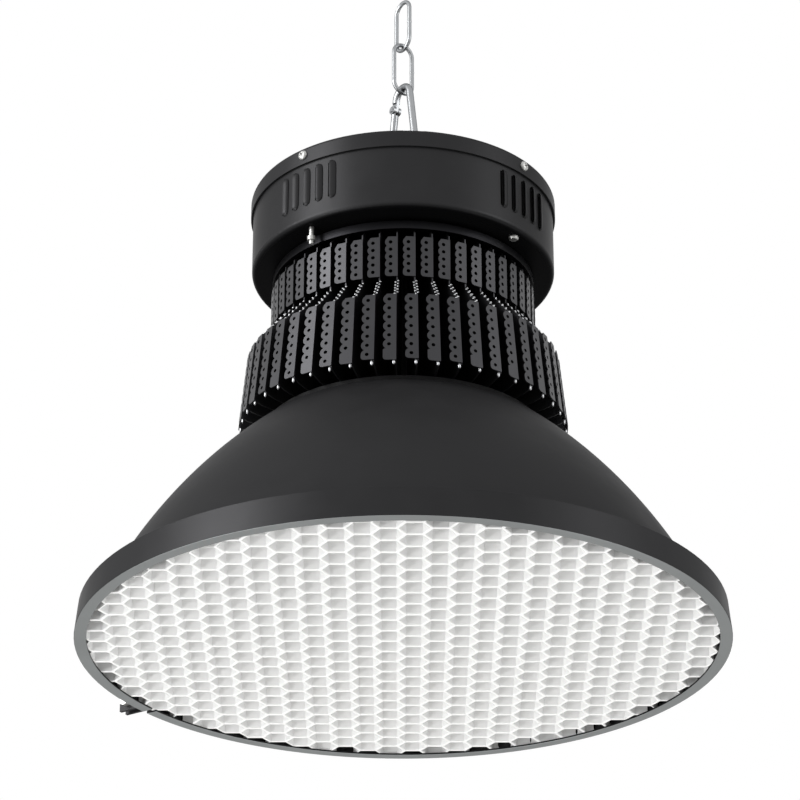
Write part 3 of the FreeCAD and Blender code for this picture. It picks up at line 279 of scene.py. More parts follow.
FINISHES = (
    POWDER_COAT,
    # The same coat on the can, with painted shade on its floor: darker, and nearly without sheen.
    replace(
        POWDER_COAT,
        name="satin_black_powder_coat_painted_shade_below",
        fade=(CAN_Z + 2.6, CAN_Z + 0.4, "161617"),
        fade_specular=0.03,
    ),
    # Spun and painted aluminium: faint rings under a smooth satin black.
    replace(
        POWDER_COAT,
        name="satin_black_spun_aluminium",
        roughness=0.5,
        grain=Grain.TURNED,
        relief_mm=0.01,
        grain_mm=1.6,
    ),
    # The shade's inside: white paint that sends the light down.
    Finish("white_reflector_paint", "F2F2F0", 0.45, relief_mm=0.01, tone_change=0.02),
    # Stamped and anodised fin sheet: a dark metal that mirrors only what is before it.
    Finish("black_anodised_sheet", "424244", 0.42, metallic=1.0, relief_mm=0.008),
    # Painted glints: bright metal on the fins' shoulder dimples and foot beads, for highlights.
    Finish("painted_glint_aluminium", "B8B9BB", 0.35, metallic=1.0, relief_mm=0.004),
    # Machined and anodised plate edges: a little brighter than the sheet.
    Finish("black_anodised_plate", "222224", 0.34, metallic=1.0, grain=Grain.TURNED),
    # Cast core between the fins, painted near black as shade, so that the gaps stay dark.
    Finish("black_cast_core_painted_shade", "101011", 0.65, relief_mm=0.03, grain_mm=1.2, specular=0.15),
    # Grey metal for a thin skin under the hoop's turned-in lip: a flat cool grey.
    Finish("grey_metal_lip_skin", "9C9FA0", 0.42, metallic=1.0, mottle_mm=60, relief_mm=0.004),
    # Zinc plated wire: cool grey with a cloudy gloss, darker where it turns away.
    Finish(
        "zinc_plated_steel",
        "A0A2A4",
        0.36,
        metallic=1.0,
        mottle_mm=12,
        grain_mm=4,
        relief_mm=0.001,
        edge_tint=0.1,
    ),
    # Nickel plated screws: a soft shine, with fine drawn lines.
    Finish(
        "nickel_plated_screw",
        "B8B8B6",
        0.42,
        metallic=1.0,
        grain=Grain.DRAWN,
        mottle_mm=4,
        relief_mm=0.003,
    ),
    # White moulded louvre. Painted light: above the free edge its walls turn a brighter white.
    Finish(
        "white_moulded_louvre",
        "F0F0EF",
        0.5,
        relief_mm=0.006,
        tone_change=0.01,
        fade=(LOUVRE_Z + 0.2, LOUVRE_Z + 1.0, "FAFAFA"),
    ),
    # Plain aluminium sheet of the tray and the driver's case.
    Finish("plain_aluminium_sheet", "B9BBBD", 0.38, metallic=1.0, grain=Grain.DRAWN),
    # Black moulded gland.
    Finish("black_moulded_plastic", "1A1A1B", 0.55, relief_mm=0.02, grain_mm=0.6),
    # Grey moulded terminal block.
    Finish("grey_moulded_plastic", "8A8B8A", 0.5, relief_mm=0.02, grain_mm=0.6),
    # Black rubber seal and grommet.
    Finish("black_seal_rubber", "121212", 0.8, relief_mm=0.03, grain_mm=0.7),
    # Grey silicone gasket.
    Finish("grey_silicone_gasket", "777877", 0.65, relief_mm=0.02),
    # White solder mask of the LED board.
    Finish("white_solder_mask", "EFEFEE", 0.35, relief_mm=0.004, tone_change=0.02),
    # Phosphor under silicone on the LED arrays.
    Finish(
        "yellow_phosphor_silicone",
        "E0B73C",
        0.3,
        grain_mm=1.5,
        relief_mm=0.05,
        tone_change=0.08,
    ),
)


GLASS_INDEX = 1.45


def clear_glass() -> bpy.types.Material:
    """Toughened flat glass: see-through, with a sheen that grows at a slant."""
    material = bpy.data.materials.new("clear_toughened_glass")
    material.use_nodes = True
    tree = material.node_tree
    tree.nodes.clear()
    clear = add_node(tree, "ShaderNodeBsdfTransparent", Color=srgb("F7F7F7"))
    sheen = add_node(tree, "ShaderNodeBsdfGlossy", Roughness=0.02)
    slant = add_node(tree, "ShaderNodeFresnel", IOR=GLASS_INDEX)
    # Only the front faces have a sheen, so that none builds up inside the pane.
    behind = add_node(tree, "ShaderNodeNewGeometry").outputs["Backfacing"]
    share = maths(tree, "MULTIPLY", slant.outputs[0], maths(tree, "SUBTRACT", 1.0, behind))
    mix = add_node(
        tree, "ShaderNodeMixShader", Fac=share, _1=clear.outputs[0], _2=sheen.outputs[0]
    )
    add_node(tree, "ShaderNodeOutputMaterial", Surface=mix.outputs[0])
    return material


@dataclass
class Palette:
    """The finishes by name, and which solid wears which."""

    made: dict[str, bpy.types.Material] = field(default_factory=dict)

    WORN = {
        "zinc_plated_steel": (
            "chain_link_upper chain_link_lower snap_hook hook_gate gate_rivet eye_bolt "
            "eye_bolt_washer eye_bolt_nut"
        ),
        "satin_black_powder_coat": "driver_lid clamp_hoop",
        "satin_black_powder_coat_painted_shade_below": "driver_can",
        "black_anodised_plate": "sink_top_plate",
        "black_cast_core_painted_shade": "sink_core",
        "black_anodised_sheet": "cooling_fins",
        "satin_black_spun_aluminium": "reflector_shade",
        "nickel_plated_screw": (
            "lid_screws tray_screws earth_stud earth_nut driver_screws spacer_screws "
            "plate_screws board_screws shade_screws hoop_screw hoop_nut can_spacers"
        ),
        "white_moulded_louvre": "honeycomb_louvre",
        "plain_aluminium_sheet": "driver_tray led_driver",
        "black_moulded_plastic": "gland_body gland_cap gland_lock_nut",
        "grey_moulded_plastic": "terminal_block",
        "black_seal_rubber": "gland_seal wire_grommet",
        "grey_silicone_gasket": "lens_gasket",
        "white_solder_mask": "led_board",
        "yellow_phosphor_silicone": "led_arrays",
        "clear_toughened_glass": "glass_lens",
    }

    def build(self) -> None:
        """Make every finish."""
        self.made = {finish.name: finish.build() for finish in FINISHES}
        self.made["clear_toughened_glass"] = clear_glass()

    def dress_solids(self) -> None:
        """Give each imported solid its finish."""
        for name, nodes in self.WORN.items():
            for node in nodes.split():
                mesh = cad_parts[node].data
                mesh.materials.clear()
                mesh.materials.append(self.made[name])


# ---------------------------------------------------------------- making meshes


def turned(degrees: float, axis: str = "Z") -> Matrix:
    """A turn about an axis."""
    return Matrix.Rotation(math.radians(degrees), 4, axis)


def to_object(name: str, bm: BMesh, smooth_deg: float = SHARP_DEG) -> bpy.types.Object:
    """Turn millimetre geometry into a linked object in metres, smooth up to an angle."""
    bmesh.ops.scale(bm, vec=(MM, MM, MM), verts=bm.verts)
    bmesh.ops.recalc_face_normals(bm, faces=bm.faces)
    mesh = bpy.data.meshes.new(name)
    bm.to_mesh(mesh)
    bm.free()
    mesh.shade_smooth()
    mesh.set_sharp_from_angle(angle=math.radians(smooth_deg))
    made = bpy.data.objects.new(name, mesh)
    bpy.context.scene.collection.objects.link(made)
    return made


def lathe(profile: Iterable[Pair], segments: int, gap_deg: float = 0.0) -> BMesh:
    """Spin a closed outline about Z.

    Args:
        profile: The outline's (radius, height) points.
        segments: Steps round the turn.
        gap_deg: What the turn leaves open, half of it each side of the X axis.

    Returns:
        The spun mesh, closed at the gap's ends.
    """
    bm = bmesh.new()
    points = [bm.verts.new((r, 0, z)) for r, z in profile]
    edges = [bm.edges.new(pair) for pair in zip(points, points[1:] + points[:1])]
    if gap_deg:
        bm.faces.new(points)
        bmesh.ops.rotate(bm, verts=points, matrix=turned(gap_deg / 2))
    spun = bmesh.ops.spin(
        bm,
        geom=points + edges,
        axis=(0, 0, 1),
        cent=(0, 0, 0),
        steps=segments,
        angle=math.radians(360 - gap_deg),
        use_merge=not gap_deg,
    )
    if gap_deg:
        last = [item for item in spun["geom_last"] if isinstance(item, bmesh.types.BMVert)]
        bm.faces.new(last)
    bmesh.ops.remove_doubles(bm, verts=bm.verts, dist=TOUCHING)
    return bm


def plate(outline: list[Pair], holes: list[list[Pair]], thickness: float) -> BMesh:
    """A flat sheet in X and Y with holes, its back at z = 0."""
    bm = bmesh.new()
    edges = []
    for loop in [outline, *holes]:
        points = [bm.verts.new((x, y, 0)) for x, y in loop]
        edges += [bm.edges.new(pair) for pair in zip(points, points[1:] + points[:1])]
    bmesh.ops.triangle_fill(bm, use_beauty=True, edges=edges)
    raised = bmesh.ops.extrude_face_region(bm, geom=list(bm.faces))
    lifted = [item for item in raised["geom"] if isinstance(item, bmesh.types.BMVert)]
    bmesh.ops.translate(bm, vec=(0, 0, thickness), verts=lifted)
    return bm


def circle(x: float, y: float, radius: float, count: int) -> list[Pair]:
    """Points round a circle."""
    turns = [2 * math.pi * i / count for i in range(count)]
    return [(x + radius * math.cos(a), y + radius * math.sin(a)) for a in turns]


def join_into(target: BMesh, part: BMesh, matrix: Matrix) -> None:
    """Add a part's geometry to a target, moved by a matrix."""
    part.transform(matrix)
    mesh = bpy.data.meshes.new("part")
    part.to_mesh(mesh)
    part.free()
    target.from_mesh(mesh)
    bpy.data.meshes.remove(mesh)


def new_tree(name: str, **inputs: str) -> Tree:
    """Start a geometry nodes tree that gives one geometry.

    Args:
        name: The tree's name.
        **inputs: What the tree takes: each input's name and its kind of socket.

    Returns:
        The tree, still without nodes.
    """
    tree = bpy.data.node_groups.new(name, "GeometryNodeTree")
    for label, kind in inputs.items():
        tree.interface.new_socket(label, in_out="INPUT", socket_type="NodeSocket" + kind)
    tree.interface.new_socket("Geometry", in_out="OUTPUT", socket_type="NodeSocketGeometry")
    return tree


def ring_tree() -> Tree:
    """Geometry nodes that repeat a mesh about Z and give it a material."""
    tree = new_tree(
        "repeat_about_axis",
        Geometry="Geometry",
        Count="Int",
        Step="Float",
        Turn="Float",
        Material="Material",
    )
    given = add_node(tree, "NodeGroupInput").outputs
    line = add_node(tree, "GeometryNodeMeshLine", Count=given["Count"], Offset=(0, 0, 0))
    index = add_node(tree, "GeometryNodeInputIndex").outputs[0]
    turn = maths(tree, "MULTIPLY_ADD", index, given["Step"], given["Turn"])
    angle = add_node(tree, "ShaderNodeCombineXYZ", Z=turn).outputs[0]
    placed = add_node(
        tree,
        "GeometryNodeInstanceOnPoints",
        Points=line.outputs[0],
        Instance=given["Geometry"],
        Rotation=angle,
    )
    real = add_node(tree, "GeometryNodeRealizeInstances", Geometry=placed.outputs[0])
    painted = add_node(
        tree, "GeometryNodeSetMaterial", Geometry=real.outputs[0], Material=given["Material"]
    )
    add_node(tree, "NodeGroupOutput", Geometry=painted.outputs[0])
    return tree


def bake_nodes(thing: bpy.types.Object, tree: Tree, values: dict) -> None:
    """Run a geometry nodes tree on an object and keep the mesh that comes out.

    Args:
        thing: The object, whose mesh is replaced.
        tree: The tree.
        values: The tree's inputs by name.
    """
    modifier = thing.modifiers.new("nodes", "NODES")
    modifier.node_group = tree
    for item in tree.interface.items_tree:
        if item.name in values:
            modifier[item.identifier] = values[item.name]
    graph = bpy.context.evaluated_depsgraph_get()
    mesh = bpy.data.meshes.new_from_object(thing.evaluated_get(graph))
    thing.modifiers.clear()
    old, thing.data = thing.data, mesh
    bpy.data.meshes.remove(old)


@dataclass
class Ring:
    """Repeats one mesh about the lamp's axis."""

    tree: Tree

    def repeat(
        self,
        thing: bpy.types.Object,
        count: int,
        step_deg: float,
        turn_deg: float,
        material: bpy.types.Material,
    ) -> bpy.types.Object:
        """Replace an object's mesh with its copies about Z.

        Args:
            thing: The object that holds one copy.
            count: How many copies.
            step_deg: The turn from one copy to the next.
            turn_deg: The first copy's turn.
            material: What the copies wear.

        Returns:
            The same object, its modifier gone and its mesh real.
        """
        values = {
            "Count": count,
            "Step": math.radians(step_deg),
            "Turn": math.radians(turn_deg),
            "Material": material,
        }
        bake_nodes(thing, self.tree, values)
        return thing


# ---------------------------------------------------------------- heat sink


@dataclass(frozen=True)
class Flange:
    """A folded fin edge: a strip with round holes and a scalloped free side.

    Args:
        foot: The strip's lower end on the fin, out from the axis and up.
        head: Its upper end.
        width: How far it reaches across.
        holes: How many holes, each with a scallop round it.
        pitch: From one hole to the next.
        top_margin: From the highest hole to the upper end.
        hole_radius: The holes' radius.
        hole_inset: From the fold to the holes' middles.
        corner: The lower corner's radius, and how far the upper one is cut back.
        notch: The bevel from a wide foot to the first scallop, across and along.
        overlap: How far the strip runs into the fin's sheet.
        thickness: The sheet's thickness.
    """

    foot: Pair
    head: Pair
    width: float
    holes: int
    pitch: float
    top_margin: float = 4.8
    hole_radius: float = 1.5
    hole_inset: float = 5.0
    corner: float = 2.4
    notch: Pair = (1.2, 0.9)
    overlap: float = 0.5
    thickness: float = 1.0

    HOLE_STEPS = 12
    SCALLOP_STEPS = 6
    # Each scallop stops a little short of the next one.
    SCALLOP_SHARE = 0.97
    # The foot is wide where more than this many pitches lie under the lowest hole.
    WIDE_FROM = 1.2

    @property
    def length(self) -> float:
        """The strip's length up the fin."""
        return math.dist(self.foot, self.head)

    @property
    def scallop(self) -> float:
        """The scallops' radius."""
        return self.width - self.hole_inset

    def centres(self) -> list[float]:
        """Heights of the holes, the lowest first."""
        top = self.length - self.top_margin
        return [top - self.pitch * i for i in reversed(range(self.holes))]

    def foot_corner(self, lowest: float, wide: bool) -> list[Pair]:
        """The strip's lower end with its rounded corner.

        Args:
            lowest: The lowest hole's height.
            wide: Whether the strip stays wide there, down to its very end.

        Returns:
            Points from the fold outwards and up to the lowest scallop.
        """
        if wide:
            bottom, shoulder = 0.0, lowest - self.pitch / 2
            across, along = self.notch
            end = [(self.width, shoulder - along), (self.width - across, shoulder)]
        else:
            bottom, end = lowest - self.scallop, []
        middle = (self.width - self.corner, bottom + self.corner)
        turns = [math.radians(angle) for angle in (-90, -60, -30, 0)]
        bend = [
            (middle[0] + self.corner * math.cos(a), middle[1] + self.corner * math.sin(a))
            for a in turns
        ]
        return [(-self.overlap, bottom), *bend, *end]

    def build(self) -> BMesh:
        """Make the strip in X (its width) and Y (its length)."""
        centres = self.centres()
        wide = centres[0] > self.pitch * self.WIDE_FROM
        reach = math.asin(min(self.pitch / 2 / self.scallop, 1)) * self.SCALLOP_SHARE
        outline = self.foot_corner(centres[0], wide)
        for y in centres:
            # The corner runs straight into the lowest scallop unless the foot is wide.
            first = -reach if y != centres[0] or wide else 0.0
            for step in range(self.SCALLOP_STEPS + 1):
                turn = first + (reach - first) * step / self.SCALLOP_STEPS
                x = self.hole_inset + self.scallop * math.cos(turn)
                outline.append((x, y + self.scallop * math.sin(turn)))
        outline += [(self.width - self.corner, self.length), (-self.overlap, self.length)]
        holes = [circle(self.hole_inset, y, self.hole_radius, self.HOLE_STEPS) for y in centres]
        return plate(outline, holes, self.thickness)

    def place(self) -> Matrix:
        """Where the strip stands on the fin: outer face flush with the fin's edge."""
        along = Vector((self.head[0] - self.foot[0], 0, self.head[1] - self.foot[1])).normalized()
        across = Vector((0, -1, 0))
        out = across.cross(along)
        turn = Matrix((across, along, out)).transposed().to_4x4()
        start = Vector((self.foot[0], 0, self.foot[1])) - out * self.thickness
        return Matrix.Translation(start) @ turn


# Corners of a fin, out from the axis and up from its foot.
HEEL = (128.7, 4.4)
SHOULDER = (122.9, 63.4)
COLLAR = (104.6, 85.4)

UPPER_FLANGE = Flange((104.6, 88.4), (104.6, 123.4), width=9.3, holes=5, pitch=6.4)
LOWER_FLANGE = Flange(HEEL, SHOULDER, width=9.6, holes=7, pitch=8.1)
SHORT_FLANGE = replace(LOWER_FLANGE, holes=6)


@dataclass
class HeatSink:
    """Forty-eight fins of two alternating stampings."""

    palette: Palette
    ring: Ring

    FINS = 48
    THICKNESS = 1.0
    SHEET = (
        (42, 0),
        (113, 0),
        (118.5, 0.7),
        (124, 2.2),
        HEEL,
        SHOULDER,
        COLLAR,
        (104.6, 127.4),
        (101, FIN_HEIGHT),
        (42, FIN_HEIGHT),
    )
    DIMPLES = 10
    DIMPLE_SIDE = 1.0
    DIMPLE_RADIUS = 0.9
    DIMPLE_SMOOTH_DEG = 70
    # The bead at a fin's foot, bright as a painted glint: its middle, and its half lengths.
    FOOT_GLINT = (127.8, -1.4, 3.6)
    FOOT_GLINT_HALVES = (1.2, 1.4, 3.0)

    def fin(self, lower: Flange) -> BMesh:
        """One fin at no turn, its foot on z = 0."""
        fin = bmesh.new()
        stand = Matrix.Translation((0, self.THICKNESS / 2, 0)) @ turned(90, "X")
        join_into(fin, plate(list(self.SHEET), [], self.THICKNESS), stand)
        for flange in (UPPER_FLANGE, lower):
            join_into(fin, flange.build(), flange.place())
        return fin

    def dimples(self) -> BMesh:
        """The dimples of one fin, staggered over the shoulder, and a bead at the foot: painted
        glints.
        """
        dimples = bmesh.new()
        start, end = (Vector((out, 0, up)) for out, up in (SHOULDER, COLLAR))
        for number in range(self.DIMPLES):
            side = self.DIMPLE_SIDE * (1 if number % 2 else -1)
            spot = start.lerp(end, (number + 0.5) / self.DIMPLES) + Vector((0, side, 0))
            bmesh.ops.create_icosphere(
                dimples,
                subdivisions=1,
                radius=self.DIMPLE_RADIUS,
                matrix=Matrix.Translation(spot),
            )
        foot_glint = Matrix.Translation(self.FOOT_GLINT) @ Matrix.Diagonal((*self.FOOT_GLINT_HALVES, 1))
        bmesh.ops.create_icosphere(dimples, subdivisions=1, radius=1.0, matrix=foot_glint)
        return dimples

    def build(self) -> None:
        """Make both kinds of fin and their dimples, and put them round the core."""
        half, step = self.FINS // 2, 360 / self.FINS
        rows = (
            ("fins_full_row", self.fin(LOWER_FLANGE), half, step, "black_anodised_sheet"),
            ("fins_short_row", self.fin(SHORT_FLANGE), half, 0.0, "black_anodised_sheet"),
            # The dimples wear bright metal as painted glints.
            ("fin_dimples", self.dimples(), self.FINS, 0.0, "painted_glint_aluminium"),
        )
        for name, mesh, count, turn, finish in rows:
            bmesh.ops.translate(mesh, vec=(0, 0, FIN_Z), verts=mesh.verts)
            smooth_deg = self.DIMPLE_SMOOTH_DEG if name == "fin_dimples" else SHARP_DEG
            made = to_object(name, mesh, smooth_deg)
            self.ring.repeat(made, count, 360 / count, FIN_TURN + turn, self.palette.made[finish])
            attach(made, LAMP)
            if name != "fin_dimples":
                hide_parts("cooling_fins")


# ---------------------------------------------------------------- driver housing


@dataclass
class Housing:
    """What is pressed into and screwed onto the can and its lid."""

    palette: Palette
    ring: Ring
    can_radius: float = 121.9
    skirt_radius: float = 123.75
    groups: int = 4
    hoods: int = 5
    hood_pitch: float = 11.9
    hood_height: float = 33.0
    hood_width: float = 4.6
    hood_rise: float = 1.9
    hood_wall: float = 0.5
    slot_half: float = 1.1
    slot_middle: float = 31.4

    ROWS = 28
    COLUMNS = 6
    # How blunt a hood's ends are, how full its round is, and its share of width at the ends.
    BLUNT = 9
    FULL = 0.7
    END_WIDTH = 0.35
    HOOD_SMOOTH_DEG = 50

    # A pan head and its shank, out from the screw's axis and up from the skirt.
    SCREW = (
        (0.01, -9),
        (2, -9),
        (2, 0),
        (4, 0),
        (3.95, 0.9),
        (3.5, 1.8),
        (2.4, 2.45),
        (0.01, 2.6),
    )
    SCREW_STEPS = 32
    SCREW_SMOOTH_DEG = 40
    # The recess: length, width and depth of both arms, and the height of their middle.
    CROSS = (4.2, 0.9, 2.4)
    CROSS_MIDDLE = 2.4
    CROSS_TURN = 28

    def hood(self) -> BMesh:
        """A pressed hood beside a slot: low, open along the slot, steep at its ends."""
        bm = bmesh.new()
        grid = []
        for row in range(self.ROWS + 1):
            v = row / self.ROWS * 2 - 1
            swell = math.sqrt(max(1 - abs(v) ** self.BLUNT, 0))
            width = self.hood_width * (self.END_WIDTH + (1 - self.END_WIDTH) * swell)
            line = []
            for column in range(self.COLUMNS + 1):
                u = column / self.COLUMNS
                lift = self.hood_rise * swell * math.cos(math.pi / 2 * u) ** self.FULL
                line.append(bm.verts.new((lift, u * width, v * self.hood_height / 2)))
            grid.append(line)
        for low, high in zip(grid, grid[1:]):
            for column in range(self.COLUMNS):
                after = column + 1
                bm.faces.new((low[column], low[after], high[after], high[column]))
        bmesh.ops.recalc_face_normals(bm, faces=bm.faces)
        bmesh.ops.solidify(bm, geom=list(bm.faces), thickness=self.hood_wall)
        return bm

    def vents(self) -> None:
        """Put a group of hoods on each side of the can, one beside each slot."""
        group = bmesh.new()
        out = Matrix.Translation((self.can_radius, self.slot_half, CAN_Z + self.slot_middle))
        for hood in range(self.hoods):
            along = self.hood_pitch * (hood - self.hoods // 2)
            turn = turned(math.degrees(along / self.can_radius))
            join_into(group, self.hood(), turn @ out)
        vents = to_object("vent_hoods", group, self.HOOD_SMOOTH_DEG)
        material = self.palette.made["satin_black_powder_coat"]
        step = 360 / self.groups
        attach(self.ring.repeat(vents, self.groups, step, SIDE_TURN, material), LAMP)

    def cut_cross(self, screw: bpy.types.Object) -> bpy.types.Mesh:
        """Cut the recess into a screw's head and return the mesh that is left."""
        cutter = bmesh.new()
        for turn in (0, 90):
            arm = turned(turn) @ Matrix.Diagonal((*self.CROSS, 1))
            bmesh.ops.create_cube(
                cutter, size=1, matrix=Matrix.Translation((0, 0, self.CROSS_MIDDLE)) @ arm
            )
        bmesh.ops.triangulate(cutter, faces=cutter.faces)
        cross = to_object("cross", cutter)
        modifier = screw.modifiers.new("cross", "BOOLEAN")
        modifier.object = cross
        modifier.operation = "DIFFERENCE"
        modifier.use_self = True
        graph = bpy.context.evaluated_depsgraph_get()
        mesh = bpy.data.meshes.new_from_object(screw.evaluated_get(graph))
        screw.modifiers.clear()
        bpy.data.objects.remove(cross)
        return mesh

    def lid_screws(self) -> None:
        """Pan head screws with a cross recess, in place of the plain ones."""
        head = lathe(self.SCREW, self.SCREW_STEPS)
        screw = to_object("lid_screw", head, self.SCREW_SMOOTH_DEG)
        screw.data = self.cut_cross(screw)
        lie = turned(90, "Y") @ turned(self.CROSS_TURN)
        spot = Matrix.Translation((self.skirt_radius * MM, 0, LID_SCREW_Z * MM))
        screw.data.transform(spot @ lie)
        screw.data.set_sharp_from_angle(angle=math.radians(self.SCREW_SMOOTH_DEG))
        material = self.palette.made["nickel_plated_screw"]
        step = 360 / self.groups
        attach(self.ring.repeat(screw, self.groups, step, SIDE_TURN, material), LAMP)
        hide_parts("lid_screws")

    def build(self) -> None:
        """Make the vents and the screws."""
        self.vents()
        self.lid_screws()


# ---------------------------------------------------------------- shade


@dataclass
class Shade:
    """The spun shade, black outside and white inside."""

    palette: Palette
    curve: float = 416.0
    wall: float = 1.5
    opening: float = 82.0
    bend: float = 1.2
    neck: Pair = (115.0, 152.9)
    mouth: Pair = (233.5, 1.5)

    BELL_STEPS = 40
    SMOOTH_DEG = 30
    # The flat flange round the mouth, outwards on top and back inwards underneath.
    FLANGE_TOP = [(234.1, 1.7), (235.2, 1.5), (245.6, 1.5), (246, 1.1)]
    FLANGE_UNDER = [(246, 0.4), (245.6, 0), (233.6, 0), (232.7, 0.6)]
    # A face belongs to the inside where it looks this far inwards or down.
    INWARD = -0.2
    DOWNWARD = -0.9

    def bell(self, inward: float) -> list[Pair]:
        """Points down the bell's curve, moved in by a distance."""
        start, end = Vector(self.neck), Vector(self.mouth)
        chord = end - start
        side = Vector((-chord.y, chord.x)).normalized()
        rise = math.sqrt(self.curve**2 - (chord.length / 2) ** 2)
        centre = (start + end) / 2 - side * rise
        first = math.atan2(start.y - centre.y, start.x - centre.x)
        last = math.atan2(end.y - centre.y, end.x - centre.x)
        radius = self.curve - inward
        steps = self.BELL_STEPS
        turns = [first + (last - first) * i / steps for i in range(steps + 1)]
        return [(centre.x + radius * math.cos(a), centre.y + radius * math.sin(a)) for a in turns]

    def build(self) -> None:
        """Make the shell and paint its two sides."""
        radius, height = self.neck
        outside = [(self.opening, height), (radius - self.bend, height)]
        outside += self.bell(0)[1:-1] + self.FLANGE_TOP
        inside = self.FLANGE_UNDER + self.bell(self.wall)[-3:1:-1]
        inside += [(radius - self.wall, height - self.wall), (self.opening, height - self.wall)]
        bm = lathe(outside + inside, ROUND_STEPS)
        bmesh.ops.translate(bm, vec=(0, 0, SHADE_Z), verts=bm.verts)
        shade = to_object("spun_shade", bm, self.SMOOTH_DEG)
        mesh = shade.data
        mesh.materials.append(self.palette.made["satin_black_spun_aluminium"])
        mesh.materials.append(self.palette.made["white_reflector_paint"])
        for face in mesh.polygons:
            radial = Vector((face.center.x, face.center.y, 0))
            facing = face.normal.dot(radial.normalized()) if radial.length else 0
            inner = facing < self.INWARD or face.normal.z < self.DOWNWARD
            face.material_index = int(inner)
        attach(shade, LAMP)
        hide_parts("reflector_shade")


# ---------------------------------------------------------------- mouth


